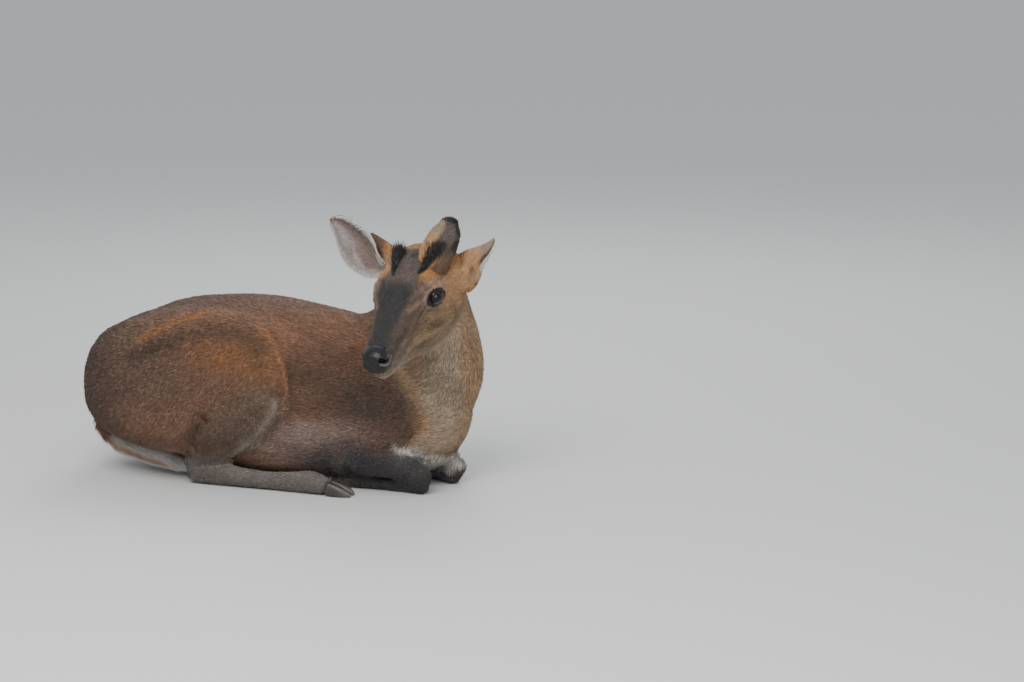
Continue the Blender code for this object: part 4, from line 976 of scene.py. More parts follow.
def sampleSkin():
    # scatters roots evenly: equal steps of area times density, jittered, along the skin's triangles
    skinMesh.calc_loop_triangles()
    tri = np.empty(len(skinMesh.loop_triangles) * 3, np.int32)
    skinMesh.loop_triangles.foreach_get("vertices", tri)
    tri = tri.reshape(-1, 3)
    density = sum(skinShare[region] * coat[region][3] for region in regions)
    place = toHead(skinPoints)
    d, near = eyeDistance(bothSides(place), eye["socket"])
    density = density * np.where(near & (d < 0.98) & (skinShare["face"] > 0.3), 0, 1)
    density *= np.where((skinPoints[:, 2] < 0.004) & (skinNormals[:, 2] < -0.6), 0, 1)
    nose = (((place - np.array([0.1195, 0.001, -0.015])) / np.array([0.0185, 0.0215, 0.0185])) ** 2).sum(1)
    density *= np.where(nose < 0.80, 0, 1)
    density *= 1 - 0.92 * np.exp(-(pathDistance(rightSide(skinPoints), hamCrease) / 0.0055) ** 2)
    a, b, c = (skinPoints[tri[:, i]] for i in range(3))
    area = np.linalg.norm(np.cross(b - a, c - a), axis=1) / 2
    order = np.argsort(np.floor(a[:, 0] / 0.02) * 1000 + np.floor(a[:, 1] / 0.02) * 30 + a[:, 2])
    tri, area = tri[order], area[order]
    total = np.cumsum(area * density[tri].mean(1))
    count = int(total[-1])
    at = (np.arange(count) + draw.random(count)) / count * total[-1]
    face = np.clip(np.searchsorted(total, at), 0, len(tri) - 1)
    u, v = draw.random(count), draw.random(count)
    flip = u + v > 1
    u, v = np.where(flip, 1 - u, u), np.where(flip, 1 - v, v)
    share = np.stack((1 - u - v, u, v), 1)
    return tri[face], share


def combLie(points, normals, lie):
    # combs the lie flat to the skin, round the eyes, with a slow waver
    place = toHead(points)
    p = bothSides(place)
    d, near = eyeDistance(p, eye["socket"])
    away = p - np.asarray(eye["centre"])
    away = away - (away @ eyeOut)[:, None] * eyeOut
    away[:, 1] *= np.sign(place[:, 1])
    push = np.where(near, np.exp(-((d - 1.0) / 0.7) ** 2), 0)[:, None]
    lie = lie + unit(away) @ axes * push * 1.6 * (np.abs(toHead(points)).max(1) < 0.16)[:, None]
    waver = np.stack([mottle(points, 0.030, seed) for seed in (21, 22, 23)], 1) * 0.22
    waver = waver + np.stack([mottle(points, 0.007, seed) for seed in (31, 32, 33)], 1) * 0.16
    lie = unit(lie) + waver + draw.normal(0, 0.07, points.shape)
    return unit(lie - (lie * normals).sum(1)[:, None] * normals)


def growCoat():
    corner, share = sampleSkin()

    def spread(values):
        return (values[corner] * share[..., None]).sum(1) if values.ndim > 1 else (values[corner] * share).sum(1)

    roots, normals = spread(skinPoints), unit(spread(skinNormals))
    shares = {region: spread(skinShare[region]) for region in regions}
    lie = combLie(roots, normals, spread(skinLie))
    n = len(roots)
    length, width, lift, _ = (sum(shares[region] * coat[region][i] for region in regions) for i in range(4))
    brisket = blob(roots, (0.240, -0.010, 0.045), (0.045, 0.070, 0.040))
    length = length * (1 + 0.6 * brisket) * draw.uniform(0.7, 1.2, n)
    width = width * draw.uniform(0.75, 1.25, n)
    lift = np.radians(lift * draw.uniform(0.5, 1.7, n))
    tufts = sliverTufts(roots, normals, lie, length, width, lift)
    root, ridge, tip = hairTones(coatColour(roots, shares), roots, lie)
    colours = np.stack((root, root, ridge, tip), 1)
    main = skinWeight[corner[:, 0]].argmax(1)
    names = np.array([mass["region"] for mass in masses.values()])
    for region in regions:
        kinds = np.flatnonzero(names == region)
        mine = np.flatnonzero(names[main] == region)
        mine = mine[np.argsort(roots[mine, 0], kind="stable")]
        pieces = max(1, math.ceil(len(mine) / tuftsPerPiece))
        slot = {"neck": "neck_coat", "leg": "leg_coat", "face": "face_coat"}.get(region, "body_coat")
        for number, part in enumerate(np.array_split(mine, pieces)):
            which = main[part]
            chart = skinChart[corner[part, 0], which].copy()
            chart[:, 0] = (np.searchsorted(kinds, which) + chart[:, 0] * 0.98) / len(kinds)
            name = f"coat_{region}" + (f"_{number + 1}" if pieces > 1 else "")
            addPiece(name, tuftMesh(name, tufts[part], tuftFaces, colours[part], chart), coatFinish, slot)
            print(name, len(part), "tufts")


growCoat()


# Locks of longer hair: closed three-sided tapers that bend from root to tip

def locks(roots, tips, bend, width, segments=4):
    # centre(t) = root + (tip - root) t + bend sin(pi t), with a triangle about it that narrows to the tip
    n = len(roots)
    t = np.linspace(0, 1, segments + 1)[None, :, None]
    centre = roots[:, None] + (tips - roots)[:, None] * t + bend[:, None] * np.sin(math.pi * t)
    ahead = unit(np.gradient(centre, axis=1))
    side = unit(np.cross(ahead, np.array([0.31, 0.17, 0.93])))
    up = np.cross(side, ahead)
    size = width[:, None, None] / 2 * np.clip(1.15 - t, 0, 1) ** 0.7
    angle = np.array([math.pi / 2, math.pi * 7 / 6, math.pi * 11 / 6])
    ring = (centre[:, :-1, None] + size[:, :-1, None] * (side[:, :-1, None] * np.cos(angle)[:, None]
                                                         + 0.6 * up[:, :-1, None] * np.sin(angle)[:, None]))
    corners = np.concatenate((ring.reshape(n, segments * 3, 3), centre[:, -1:]), 1)
    faces = [(0, 1, 2)]
    for k in range(segments - 1):
        for a in range(3):
            b = (a + 1) % 3
            faces += [(3 * k + b, 3 * k + a, 3 * k + 3 + a), (3 * k + b, 3 * k + 3 + a, 3 * k + 3 + b)]
    last, end = 3 * (segments - 1), 3 * segments
    faces += [(last + (a + 1) % 3, last + a, end) for a in range(3)]
    return corners, np.array(faces)


def lockColours(root, tip, segments=4):
    # the colour runs from root to tip, ring by ring
    t = np.r_[np.repeat(np.arange(segments) / segments, 3), 1.0][None, :, None]
    return root[:, None] * (1 - t) + tip[:, None] * t


def anyColour(name, n, spread=0.12):
    return np.array(shade[name])[None] * np.exp(draw.normal(0, spread, (n, 1)))


# Eyes and lids

def glossMaterial(name, roughness, coatWeight, bumpScale=0.0, bumpDepth=0.0, specular=0.4):
    # wet skin, horn or eye: the painted colour under a clear wet film
    made = bpy.data.materials.new(name)
    made.use_nodes = True
    nodes, links = made.node_tree.nodes, made.node_tree.links
    shader = nodes["Principled BSDF"]
    shader.inputs["Roughness"].default_value = roughness
    shader.inputs["Specular IOR Level"].default_value = specular
    shader.inputs["Coat Weight"].default_value = coatWeight
    shader.inputs["Coat Roughness"].default_value = 0.06
    painted = nodes.new("ShaderNodeAttribute")
    painted.attribute_name = "coatColour"
    links.new(painted.outputs["Color"], shader.inputs["Base Color"])
    if bumpScale:
        place = nodes.new("ShaderNodeTexCoord")
        cells = nodes.new("ShaderNodeTexVoronoi")
        cells.inputs["Scale"].default_value = 1 / bumpScale
        links.new(place.outputs["Object"], cells.inputs["Vector"])
        bump = nodes.new("ShaderNodeBump")
        bump.inputs["Strength"].default_value = bumpDepth
        bump.inputs["Distance"].default_value = 0.0004
        bump.invert = True
        links.new(cells.outputs["Distance"], bump.inputs["Height"])
        links.new(bump.outputs["Normal"], shader.inputs["Normal"])
    return made


eyeFinish = glossMaterial("eye", 0.06, 0.0, specular=0.32)
lidFinish = glossMaterial("lid_skin", 0.35, 0.35, 0.0009, 0.3)


def sided(points, side):
    # turns a shape drawn on the head's left side to either side
    return np.asarray(points, float) * np.array([1, side, 1])


def makeEye(label, side):
    # a sphere about the eye's axis, whose front swells by 0.5 mm over the cornea
    rings, sides = 40, 64
    polar = np.linspace(0.02, math.pi - 0.02, rings)[:, None]
    turn = np.linspace(0, 2 * math.pi, sides, endpoint=False)[None]
    reach = eye["radius"] - 0.0004 + 0.0006 * np.exp(-(polar / 0.75) ** 4)
    a, b = reach * np.sin(polar) * np.cos(turn), reach * np.sin(polar) * np.sin(turn)
    depth = reach * np.cos(polar) + 0 * turn
    points = (np.asarray(eye["centre"]) + a[..., None] * eyeAlong + b[..., None] * eyeUp
              + depth[..., None] * eyeOut).reshape(-1, 3)
    ends = [np.asarray(eye["centre"]) + eyeOut * sign * reach[i, 0] for sign, i in ((1, 0), (-1, -1))]
    mesh = buildMesh("eye", fromHead(sided(np.concatenate((points, ends)), side)), *tubeFaces(rings, sides))
    turnOutward(mesh)
    oval = np.hypot(a / 0.0078, b / 0.0052).ravel()
    open_ = np.hypot(a, b).ravel()
    front = depth.ravel() > 0
    colour = np.repeat(np.array([[0.020, 0.012, 0.008]]), len(oval), 0)
    colour = colour * (1 - ramp(1.05 - oval, 0, 0.1) * front * 0.85)[:, None]
    colour = colour * (1 - ramp(open_, 0.0105, 0.0125) * 0.6)[:, None]
    paintPoints(mesh, np.concatenate((colour, colour[[0, -1]])))
    addPiece(f"eyeball_{label}", mesh, eyeFinish, "eye", f"eye_{label}")


def lidPath(count=72):
    # an oval on the eyeball, drawn out to a point at the inner corner
    turn = np.linspace(0, 2 * math.pi, count, endpoint=False)
    a = eye["opening"][0] * np.cos(turn) * (1 + 0.08 * np.maximum(np.cos(turn), 0) ** 4)
    b = eye["opening"][1] * np.sin(turn) * (1 - 0.16 * np.maximum(np.cos(turn), 0) ** 2)
    b = b - 0.0010 * np.cos(turn)
    return turn, a, b


def makeLids(label, side):
    # a round rim carried along the oval, on the ball, heavier above
    turn, a, b = lidPath()
    r = eye["radius"]
    depth = np.sqrt(r ** 2 - a ** 2 - b ** 2)
    centre = a[:, None] * eyeAlong + b[:, None] * eyeUp + depth[:, None] * eyeOut
    ball = unit(centre)
    ahead = unit(np.roll(centre, -1, 0) - np.roll(centre, 1, 0))
    outward = np.cross(ahead, ball)
    outward *= np.sign((outward * (a[:, None] * eyeAlong + b[:, None] * eyeUp)).sum(1))[:, None]
    around = np.linspace(0, 2 * math.pi, 14, endpoint=False)
    thick = eye["lidThickness"] * (1 + 0.35 * np.maximum(np.sin(turn), 0))[:, None, None]
    ring = (centre[:, None] + outward[:, None] * (thick * (0.7 + 1.5 * np.cos(around)[None, :, None]))
            + ball[:, None] * (thick * (0.15 + 0.85 * np.sin(around)[None, :, None])))
    points = (np.asarray(eye["centre"]) + ring).reshape(-1, 3)
    rings, sides = len(turn), len(around)
    i, s = (grid.ravel() for grid in np.meshgrid(np.arange(rings), np.arange(sides), indexing="ij"))
    j, t = (i + 1) % rings, (s + 1) % sides
    quads = np.stack((i * sides + s, i * sides + t, j * sides + t, j * sides + s), 1)
    mesh = buildMesh("lids", fromHead(sided(points, side)), quads)
    turnOutward(mesh)
    paintPoints(mesh, np.repeat(np.array([[0.022, 0.018, 0.016]]), len(points), 0))
    addPiece(f"lids_{label}", mesh, lidFinish, "eye")


for eyeSide, eyeLabel in ((1, "left"), (-1, "right")):
    makeEye(eyeLabel, eyeSide)
    makeLids(eyeLabel, eyeSide)
print("eyes and lids set")


# Nose pad

nose = {
    "centre": (0.1190, 0.0005, -0.0150),
    "radii": (0.0195, 0.0215, 0.0205),
    "square": 2.3,
    "nostril": ((0.1130, 0.0175, -0.0030), (0.1150, 0.0208, -0.0080), (0.1215, 0.0212, -0.0098), (0.1285, 0.0188, -0.0085),
                (0.1315, 0.0155, -0.0065)),
    "nostrilWidth": 0.0030,
    "nostrilDepth": 0.0070,
    "paleRim": ((0.1110, 0.0210, -0.0122), (0.1171, 0.0219, -0.0148), (0.1253, 0.0212, -0.0166), (0.1308, 0.0187, -0.0150),
                (0.1338, 0.0152, -0.0112)),
}


def makeNose():
    # a rounded box with a comma-shaped nostril sunk in each side, its rim raised, and a groove down the middle
    rings, sides = 96, 130
    polar = np.linspace(0.01, math.pi - 0.01, rings)[:, None]
    turn = np.linspace(0, 2 * math.pi, sides, endpoint=False)[None]
    ball = np.stack((np.cos(polar) + 0 * turn, np.sin(polar) * np.cos(turn), np.sin(polar) * np.sin(turn)), -1)
    ball = np.concatenate((ball.reshape(-1, 3), [(1, 0, 0), (-1, 0, 0)]))
    ball = ball / ((np.abs(ball) ** nose["square"]).sum(1) ** (1 / nose["square"]))[:, None]
    points = ball * np.asarray(nose["radii"]) + np.asarray(nose["centre"])
    inward = unit(np.asarray(nose["centre"]) - points)
    away = pathDistance(bothSides(points), nose["nostril"])
    depth = nose["nostrilDepth"] * np.exp(-(away / nose["nostrilWidth"]) ** 4)
    depth = depth - 0.0006 * np.exp(-((away - 0.0056) / 0.0022) ** 2)
    below = ramp(-(points[:, 2] + 0.012), 0, 0.006) * ramp(points[:, 0], 0.128, 0.132)
    depth = depth + 0.0010 * np.exp(-(points[:, 1] / 0.0012) ** 2) * below
    depth = depth + 0.00030 * mottle(points, 0.0015, 51)
    points = points + inward * depth[:, None]
    mesh = buildMesh("nose", fromHead(points), *tubeFaces(rings, sides))
    turnOutward(mesh)
    colour = np.repeat(np.array([[0.011, 0.010, 0.011]]), len(points), 0)
    pale = np.exp(-(pathDistance(bothSides(points), nose["paleRim"]) / 0.0014) ** 2)[:, None] * 0.60
    colour = colour * (1 - pale) + np.array([[0.26, 0.24, 0.24]]) * pale
    # the nostrils darkened inside: painted shade in their hollows
    colour = colour * (1 - 0.85 * np.exp(-(away / 0.0034) ** 4))[:, None]
    paintPoints(mesh, colour * (1 + 0.25 * mottle(points, 0.003, 52))[:, None])
    addPiece("nose", mesh, glossMaterial("nose_skin", 0.24, 0.0, 0.0010, 0.4, specular=0.28), "nose_skin", "nose_pad")


makeNose()
print("nose made")


# Ears

ear = {
    "thickness": 0.0022,
    "left": {"back": (0.64, 0.46, 0.61), "rows": (     # one rim, the other rim, depth of the cup
        (-0.0751, 0.0426, -0.0124, -0.0607, 0.0580, -0.0390, 0.004),
        (-0.0793, 0.0431, 0.0013, -0.0600, 0.0688, -0.0316, 0.009),
        (-0.0829, 0.0486, 0.0140, -0.0619, 0.0787, -0.0208, 0.012),
        (-0.0834, 0.0628, 0.0234, -0.0633, 0.0879, -0.0068, 0.013),
        (-0.0819, 0.0800, 0.0316, -0.0644, 0.0956, 0.0081, 0.012),
        (-0.0791, 0.0932, 0.0384, -0.0650, 0.1046, 0.0216, 0.010),
        (-0.0759, 0.1050, 0.0457, -0.0652, 0.1139, 0.0327, 0.007),
        (-0.0735, 0.1146, 0.0523, -0.0662, 0.1204, 0.0436, 0.005),
        (-0.0724, 0.1212, 0.0576, -0.0678, 0.1253, 0.0529, 0.003),
        (-0.0710, 0.1256, 0.0609, -0.0694, 0.1277, 0.0593, 0.001))},
    "right": {"back": (-0.888, -0.192, -0.418), "rows": (
        (-0.0665, -0.0636, -0.0033, -0.0554, -0.0647, -0.0076, 0.004),
        (-0.0607, -0.0691, 0.0078, -0.0448, -0.0682, -0.0029, 0.012),
        (-0.0609, -0.0740, 0.0183, -0.0368, -0.0759, -0.0022, 0.017),
        (-0.0632, -0.0769, 0.0261, -0.0326, -0.0864, 0.0013, 0.019),
        (-0.0700, -0.0808, 0.0345, -0.0306, -0.0978, 0.0078, 0.018),
        (-0.0766, -0.0886, 0.0456, -0.0316, -0.1100, 0.0164, 0.016),
        (-0.0807, -0.0991, 0.0562, -0.0358, -0.1207, 0.0272, 0.014),
        (-0.0830, -0.1112, 0.0645, -0.0439, -0.1288, 0.0386, 0.012),
        (-0.0830, -0.1238, 0.0706, -0.0538, -0.1347, 0.0500, 0.009),
        (-0.0817, -0.1334, 0.0733, -0.0620, -0.1407, 0.0599, 0.006),
        (-0.0790, -0.1400, 0.0738, -0.0677, -0.1445, 0.0654, 0.003),
        (-0.0763, -0.1442, 0.0725, -0.0719, -0.1461, 0.0694, 0.001))},
}
earRows = {label: smoothRows(ear[label]["rows"], 160) for label in ("left", "right")}


def earSheet(label, s, t):
    # a cup: across it a parabola from rim to rim, rim (1 - t)/2 + other rim (1 + t)/2 + back depth (1 - t squared)
    rows = earRows[label]
    at = np.clip(s, 0, 1) * (len(rows) - 1)
    k = np.clip(at.astype(int), 0, len(rows) - 2)
    row = rows[k] + (rows[k + 1] - rows[k]) * (at - k)[..., None]
    t = t[..., None]
    return (row[..., :3] * (1 - t) + row[..., 3:6] * (1 + t)) / 2 + unit(ear[label]["back"]) * row[..., 6:] * (1 - t * t)


def earNormal(label, s, t):
    # the cross product of the steps along and across the sheet, turned to the hollow side
    step = 0.006
    down = earSheet(label, s + step, t) - earSheet(label, s - step, t)
    across = earSheet(label, s, t + step) - earSheet(label, s, t - step)
    rows = earRows[label]
    turned = np.cross((rows[90] - rows[70])[:3], (rows[80, 3:6] - rows[80, :3])) @ np.array(ear[label]["back"])
    return unit(np.cross(down, across)) * -np.sign(turned), unit(down)


def earPatch(s, t, at, size, strength):
    # a soft patch on the ear about one place along and across it
    return np.exp(-((s - at[0]) / size[0]) ** 2 - ((t - at[1]) / size[1]) ** 2) * strength


def toward(colour, goal, amount):
    amount = np.clip(amount, 0, 1)[:, None]
    return colour * (1 - amount) + np.array(goal) * amount


def earColour(label, s, t, inner):
    # t runs from -1 at one rim to 1 at the other
    n = len(s)
    rim = np.abs(t)
    if inner:
        # pinkish skin, a brown band along one rim that is partly painted shade of the cup's fold, a pale haze along the
        # other, ridges, a dark tip and a white edge
        colour = np.repeat(np.array([[0.155, 0.103, 0.090]]), n, 0)
        colour = toward(colour, (0.31, 0.29, 0.29), earPatch(s, t, (0.76, 0.32), (0.18, 0.36), 0.75))
        colour = toward(colour, (0.31, 0.29, 0.285), ramp(t, 0.55, 0.90) * ramp(s, 0.25, 0.45) * 0.70)
        # brown band along one rim, partly painted shade where the cup folds deepest
        colour = toward(colour, (0.105, 0.068, 0.056), np.exp(-((t + 0.42) / 0.26) ** 2) * ramp(s, 0.25, 0.45) * 0.85)
        colour = toward(colour, (0.42, 0.38, 0.36), np.exp(-((t - 1.15 + 1.3 * s) / 0.10) ** 2) * ramp(0.60 - s, 0, 0.1) * 0.6)
        colour = toward(colour, (0.155, 0.105, 0.110), earPatch(s, t, (0.26, 0.35), (0.12, 0.28), 0.7))
        colour = toward(colour, (0.42, 0.36, 0.28), np.exp(-((t - 0.75 + 0.5 * s) / 0.11) ** 2) * ramp(0.32 - s, 0, 0.08) * 0.7)
        colour = toward(colour, (0.060, 0.055, 0.058), ramp(s, 0.92, 0.99) * 0.55 + earPatch(s, t, (0.86, 0.85), (0.10, 0.12), 0.6))
        return toward(colour, (0.62, 0.60, 0.54), ramp(rim, 0.93, 0.99) * 0.9)
    colour = np.repeat(np.array(shade["temple"])[None], n, 0)
    if label == "right":
        colour = toward(colour, (0.135, 0.080, 0.052), ramp(s, 0.10, 0.28) * 0.9)
        return toward(colour, (0.62, 0.60, 0.54), ramp(rim, 0.95, 1.0) * 0.8)
    colour = toward(colour, (0.275, 0.195, 0.170), ramp(s, 0.48, 0.72) * 0.85)
    colour = toward(colour, (0.56, 0.42, 0.32), earPatch(s, t, (0.33, 0.80), (0.08, 0.25), 0.8))
    colour = toward(colour, (0.17, 0.11, 0.075), earPatch(s, t, (0.28, 0.25), (0.06, 0.20), 0.7))
    colour = toward(colour, (0.09, 0.075, 0.065), earPatch(s, t, (0.20, 0.95), (0.04, 0.15), 0.8))
    colour = toward(colour, (0.050, 0.043, 0.046), np.exp(-((t - 0.38) / 0.15) ** 2) * ramp(s, 0.42, 0.55) * 0.85)
    return toward(colour, (0.72, 0.71, 0.68), ramp(t, 0.54, 0.62) * ramp(s, 0.40, 0.47) + ramp(-t, 0.95, 1.0))


def makeEar(label):
    rows, columns = 60, 40
    s = (1 - (1 - np.linspace(0, 1, rows)) ** 1.4)[:, None]
    t = np.linspace(-1, 1, columns)[None]
    s, t = s + 0 * t, t + 0 * s
    sheet = earSheet(label, s, t)
    normal, _ = earNormal(label, np.clip(s, 0.007, 0.993), t)
    half = ear["thickness"] / 2 * (1 - 0.45 * np.abs(t) ** 6)[..., None] * (1 - 0.4 * s[..., None])
    outer, inner = sheet - normal * half, sheet + normal * half
    points = np.concatenate((outer, inner[:, ::-1]), 1)
    ends = np.stack((points[0].mean(0), points[-1].mean(0)))
    mesh = buildMesh("ear", fromHead(np.concatenate((points.reshape(-1, 3), ends))), *tubeFaces(rows, 2 * columns))
    turnOutward(mesh)
    back = earColour(label, s.ravel(), t.ravel(), False).reshape(rows, columns, 3)
    front = earColour(label, s.ravel(), t.ravel(), True).reshape(rows, columns, 3)
    colour = np.concatenate((back, front[:, ::-1]), 1).reshape(-1, 3)
    paintPoints(mesh, np.concatenate((colour, colour[[0, -1]])))
    addPiece(f"ear_shell_{label}", mesh, coatMaterial("ear_skin_" + label, 0.6, 0.1), "ear_coat", f"ear_{label}")
    earCoat(label)


def earHair(label, s, t, out, lie, length, width, lift):
    # slivers on one face of the ear: out is 1 for the hollow and -1 for the back
    normal, down = earNormal(label, s, t)
    normal = normal * out
    roots = earSheet(label, s, t) + normal * ear["thickness"] / 2
    lie = unit(lie - (lie * normal).sum(1)[:, None] * normal)
    return sliverTufts(fromHead(roots), normal @ axes, lie @ axes, length, width, lift)


def earCoat(label):
    # short hair over the back; in the hollow long pale hair from one rim, shorter from the other, and a thin haze
    n = 9000
    s, t = draw.uniform(0.015, 0.985, n), draw.uniform(-0.98, 0.98, n)
    _, down = earNormal(label, s, t)
    back = earHair(label, s, t, -1, down + draw.normal(0, 0.12, (n, 3)), draw.uniform(0.0035, 0.0055, n),
                   draw.uniform(0.0005, 0.0008, n), np.radians(draw.uniform(5, 16, n)))
    root, ridge, tip = hairTones(earColour(label, s, t, False), fromHead(earSheet(label, s, t)), down @ axes)
    tufts, colours = [back], [np.stack((root, root, ridge, tip), 1)]
    charts = [np.stack((s * 0.48, t / 2 + 0.5), 1)]
    kinds = (                    # how many, s from and to, t from and to, inward, towards the tip, length, strength of white
        (750, 0.06, 0.95, -0.99, -0.84, 0.95, 0.25, (0.0075, 0.0135), 0.85),
        (1200, 0.15, 0.97, 0.99, 0.84, 0.60, 0.60, (0.0040, 0.0070), 0.50),
        (1800, 0.08, 0.90, -0.70, 0.80, 0.00, 0.90, (0.0035, 0.0065), 0.15),
        (420, 0.03, 0.18, -0.95, -0.35, 0.40, 0.90, (0.0080, 0.0140), 0.90),
    )
    for count, low, high, one, other, inward, along, reach, white in kinds:
        m = int(count * (1))
        s, t = draw.uniform(low, high, m), draw.uniform(min(one, other), max(one, other), m)
        _, down = earNormal(label, s, t)
        middle = unit(earSheet(label, s, t * 0.8) - earSheet(label, s, t))
        length = draw.uniform(*reach, m) * np.clip((1.05 - s) * 3, 0.35, 1)
        tufts.append(earHair(label, s, t, 1, middle * inward + down * along + draw.normal(0, 0.07, (m, 3)), length,
                             draw.uniform(0.0004, 0.0007, m), np.radians(draw.uniform(4, 13, m))))
        ground = earColour(label, s, np.clip(t * 0.85, -0.88, 0.88), True)
        pale = ground + (np.array([[0.60, 0.58, 0.56]]) - ground) * white
        pale = pale * np.exp(draw.normal(0, 0.16, (m, 1)))
        colours.append(np.stack((pale * 0.85, pale * 0.85, pale, pale * 1.1), 1))
        charts.append(np.stack((0.5 + s * 0.48, t / 2 + 0.5), 1))
    mesh = tuftMesh("ear_coat", np.concatenate(tufts), tuftFaces, np.concatenate(colours), np.concatenate(charts))
    addPiece(f"ear_coat_{label}", mesh, coatFinish, "ear_coat")


for earLabel in ("left", "right"):
    makeEar(earLabel)
print("ears made")


# Pedicles: a velvet-covered one on the left, a stub under a black tuft on the right

pedicle = {
    "left": ((-0.030, 0.0255, 0.021, 0.0190, 0.0130), (-0.047, 0.0335, 0.0385, 0.0250, 0.0150),
             (-0.066, 0.0400, 0.0520, 0.0250, 0.0135), (-0.081, 0.0435, 0.0605, 0.0205, 0.0115),
             (-0.090, 0.0445, 0.0660, 0.0135, 0.0085)),
    "right": ((-0.026, -0.021, 0.024, 0.0080, 0.0080), (-0.044, -0.025, 0.036, 0.0070, 0.0070),
              (-0.054, -0.028, 0.042, 0.0040, 0.0040)),
}


def pedicleColour(label, p, normal):
    # the left one is tan on its inner half, pale above, dark on its outer half and along its rim
    n = len(p)
    if label == "right":
        return np.repeat(np.array(shade["black"])[None], n, 0)
    rows = smoothRows(pedicle["left"], 60)
    k = ((p[:, None] - rows[None, :, :3]) ** 2).sum(-1).argmin(1)
    along = k / 59
    aside = (p[:, 1] - rows[k, 1]) / rows[k, 3] + 0.10 * mottle(p, 0.005, 61)
    colour = np.repeat(np.array(shade["temple"])[None], n, 0) * 0.85
    colour = tint(colour, "foreheadOrange", ramp(0.45 - along, 0, 0.25) * 0.7)
    colour = toward(colour, (0.30, 0.255, 0.180), ramp(along, 0.55, 0.80) * 0.8)
    colour = toward(colour, (0.095, 0.076, 0.070), ramp(aside, -0.20, 0.22) * ramp(along, 0.35, 0.50) * 0.92)
    colour = toward(colour, (0.110, 0.070, 0.046), ramp(aside, 0.20, 0.55) * ramp(0.55 - along, 0, 0.15) * 0.9)
    rim = ramp(np.abs(aside), 0.84, 0.98) * ramp(along, 0.40, 0.55) + ramp(along, 0.955, 1.0)
    return tint(colour, "black", rim * 0.85)


def makePedicle(label):
    rows = pedicle[label]
    mass = carryProfile(rows, 36, 48)
    points = mass["points"]
    mesh = buildMesh("pedicle", fromHead(points), *mass["faces"])
    turnOutward(mesh)
    _, normals = readPoints(mesh)
    normals = normals @ axes.T
    paintPoints(mesh, pedicleColour(label, points, normals) * 0.8)
    addPiece(f"pedicle_core_{label}", mesh, coatMaterial("velvet_" + label, 0.75, 0.3), "pedicle_coat",
             f"pedicle_{label}")
    n = 7000 if label == "left" else 900
    pick = draw.integers(0, len(points) - 2, n)
    other = (pick + draw.integers(0, 49, n)) % (len(points) - 2)
    mix = draw.random((n, 1)) * 0.5
    near = np.linalg.norm(points[pick] - points[other], axis=1)[:, None] < 0.008
    roots = np.where(near, points[pick] * (1 - mix) + points[other] * mix, points[pick])
    normal = normals[pick]
    lie = unit(np.array([-0.72, 0.25 if label == "left" else -0.1, 0.60]) + draw.normal(0, 0.18, (n, 3)))
    lie = unit(lie - (lie * normal).sum(1)[:, None] * normal)
    tufts = sliverTufts(fromHead(roots), normal @ axes, lie @ axes, draw.uniform(0.0035, 0.0065, n),
                        draw.uniform(0.0006, 0.0009, n), np.radians(draw.uniform(8, 30, n)))
    root, ridge, tip = hairTones(pedicleColour(label, roots, normal), fromHead(roots), lie @ axes)
    chart = np.stack((np.clip(-roots[:, 0] * 10, 0, 1), np.arctan2(normal[:, 2], normal[:, 1]) / 6.2832 + 0.5), 1)
    mesh = tuftMesh("velvet", tufts, tuftFaces, np.stack((root, root, ridge, tip), 1), chart)
    addPiece(f"pedicle_velvet_{label}", mesh, coatFinish, "pedicle_coat")


def makeTuft(name, line, count, spread, reach, lean, loose):
    # black locks that stand along a line on the head, longer and looser towards its end
    t = draw.random(count) ** 0.65
    line = smoothRows(line, 20)
    at = line[(t * 19).astype(int)]
    roots = at + draw.normal(0, 1, (count, 3)) * np.array([0.5, 1, 0.15]) * spread * (0.25 + 0.75 * t[:, None])
    length = draw.uniform(0.35, 1.15, count)[:, None] * reach * (0.30 + 0.70 * t[:, None])
    tips = roots + unit(np.asarray(lean) + draw.normal(0, loose, (count, 3))) * length
    bend = draw.normal(0, 0.0012, (count, 3))
    corners, faces = locks(fromHead(roots), fromHead(tips), bend, draw.uniform(0.0005, 0.0010, count))
    dark = anyColour("black", count, 0.4) * np.where(draw.random((count, 1)) < 0.20, 4.5, 1.0)
    mesh = tuftMesh(name, corners, faces, lockColours(dark, dark * 1.8), np.stack((t, draw.random(count)), 1))
    addPiece(name, mesh, coatFinish, "pedicle_coat")


for pedicleLabel in ("left", "right"):
    makePedicle(pedicleLabel)
makeTuft("crest_right", ((-0.008, -0.0172, 0.0380), (-0.020, -0.0198, 0.0393), (-0.035, -0.0238, 0.0405), (-0.050, -0.0270, 0.0415)),
         1500, 0.0052, 0.0185, (-0.62, -0.02, 0.78), 0.40)
makeTuft("crest_left", ((-0.0170, 0.0255, 0.0385), (-0.0280, 0.0300, 0.0432), (-0.0390, 0.0365, 0.0500), (-0.0510, 0.0430, 0.0560)),
         2400, 0.0064, 0.0145, (-0.60, 0.25, 0.76), 0.42)
print("pedicles made")


# Tail

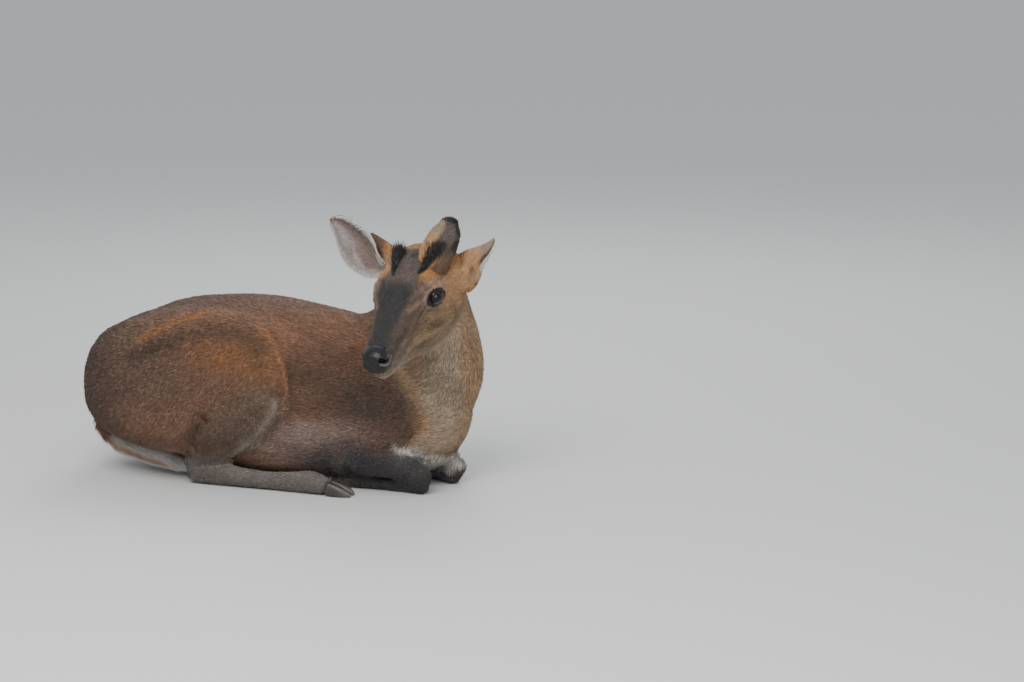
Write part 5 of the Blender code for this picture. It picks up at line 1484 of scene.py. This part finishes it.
def makeTail():
    mass = carryProfile(body["tail"], 44, 28, across=(0.3, 1, 0))
    points = mass["points"].copy()
    points[:, 2] = np.maximum(points[:, 2], 0.0008)
    mesh = buildMesh("tail", points, *mass["faces"])
    turnOutward(mesh)
    paintPoints(mesh, tailColour(points) * 0.8)
    addPiece("tail_core", mesh, skinFinish, "tail_coat", "tail")
    count = 4300
    k = draw.integers(2, len(mass["centre"]) - 1, count)
    angle = draw.uniform(0, 2 * math.pi, count)
    out = (mass["side"][k] * np.cos(angle)[:, None] * mass["width"][k][:, None]
           + mass["up"][k] * np.sin(angle)[:, None] * mass["rise"][k][:, None])
    roots = mass["centre"][k] + out * 0.92
    keep = roots[:, 2] > 0.0005
    roots, out, k = roots[keep], unit(out[keep]), k[keep]
    count = len(roots)
    flare = np.abs((out * mass["side"][k]).sum(1))[:, None]
    length = draw.uniform(0.013, 0.021, (count, 1)) * (0.75 + 0.3 * flare)
    tips = roots + unit(mass["tangent"][k] + out * (0.10 + 0.14 * flare) + draw.normal(0, 0.06, (count, 3))) * length
    tips[:, 2] = np.maximum(tips[:, 2] - 0.001, 0.0012)
    bend = np.array([0, 0, 0.0015]) + draw.normal(0, 0.0008, (count, 3))
    corners, faces = locks(roots, tips, bend, draw.uniform(0.0009, 0.0016, count))
    colour = tailColour(roots) * np.exp(draw.normal(0, 0.14, (count, 1)))
    mesh = tuftMesh("tail_hair", corners, faces, lockColours(colour * 0.7, colour * 1.15),
                    np.stack((k / len(mass["centre"]), angle[keep] / 6.2832), 1))
    addPiece("tail_hair", mesh, coatFinish, "tail_coat")


def tailColour(p):
    # russet at its root, white beyond with a russet streak down the middle
    line = smoothRows(body["tail"], 40)
    k = ((p[:, None] - line[None, :, :3]) ** 2).sum(-1).argmin(1)
    ahead = unit(np.gradient(line[:, :3], axis=0))[k]
    up = unit(np.array([0.0, -0.35, 1.0]))
    away = ((p - line[k, :3]) @ up) / np.maximum(line[k, 4], 0.004)
    along = k / 39
    colour = np.repeat(np.array(shade["white"])[None], len(p), 0)
    streak = np.exp(-((away - 0.15 + 0.9 * (along - 0.5)) / 0.45) ** 2) * ramp(0.92 - along, 0, 0.15)
    colour = tint(colour, "orange", streak * 0.8)
    return tint(colour, "haunch", ramp(0.34 - along, 0, 0.12))


makeTail()
print("tail made")


# Hooves

hoof = {"length": 0.036, "wide": 0.0074, "tall": 0.0110}


def makeHooves(label, side, which):
    # two pointed claws: rounded sections carried forward and down to a blunt toe
    if which == "hind":
        x, y, z, _, _ = body["hindCannon"][-1]
        x, y, forward = x + 0.012, side * y, 1
    else:
        x, y, z, _, _ = body["foreCannon" + label.capitalize()][-1]
        x, y, forward = x - 0.010, side * y, -1
    z = 0.011
    points, quads, fans, first = [], [], [], 0
    for aside in (-1, 1):
        middle, tip = y + aside * 0.0082 * side, y + aside * 0.0068 * side
        rows = [(x, middle, z, 0.0070, 0.0110), (x + forward * 0.35 * hoof["length"], middle, z * 0.78, 0.0074, 0.0098),
                (x + forward * 0.70 * hoof["length"], middle, z * 0.52, 0.0060, 0.0066),
                (x + forward * 0.93 * hoof["length"], tip, z * 0.30, 0.0030, 0.0032)]
        claw = carryProfile(rows, 22, 28, square=2.3, dome=0.7)
        points.append(claw["points"])
        quads.append(claw["faces"][0] + first)
        fans.append(claw["faces"][1] + first)
        first += len(claw["points"])
    points = np.concatenate(points)
    rings = 1 + 0.02 * np.sin((points[:, 0] - x) * 2600)
    points[:, 2] = np.maximum((points[:, 2] - 0.004) * rings + 0.004, 0.0005)
    mesh = buildMesh("hooves", points, np.concatenate(quads), np.concatenate(fans))
    turnOutward(mesh)
    worn = ramp(np.abs(points[:, 0] - x), 0.012, 0.036)[:, None]
    paintPoints(mesh, np.array([[0.035, 0.029, 0.026]]) * (1 - worn) + np.array([[0.085, 0.070, 0.058]]) * worn)
    addPiece(f"hooves_{which}_{label}", mesh, glossMaterial(f"horn_{which}_{label}", 0.42, 0.1, 0.0007, 0.25),
             "hoof_horn", f"hoof_{which}_{label}_inner", f"hoof_{which}_{label}_outer")


for hoofSide, hoofLabel in ((1, "left"), (-1, "right")):
    makeHooves(hoofLabel, hoofSide, "hind")
    makeHooves(hoofLabel, hoofSide, "fore")
print("hooves made")
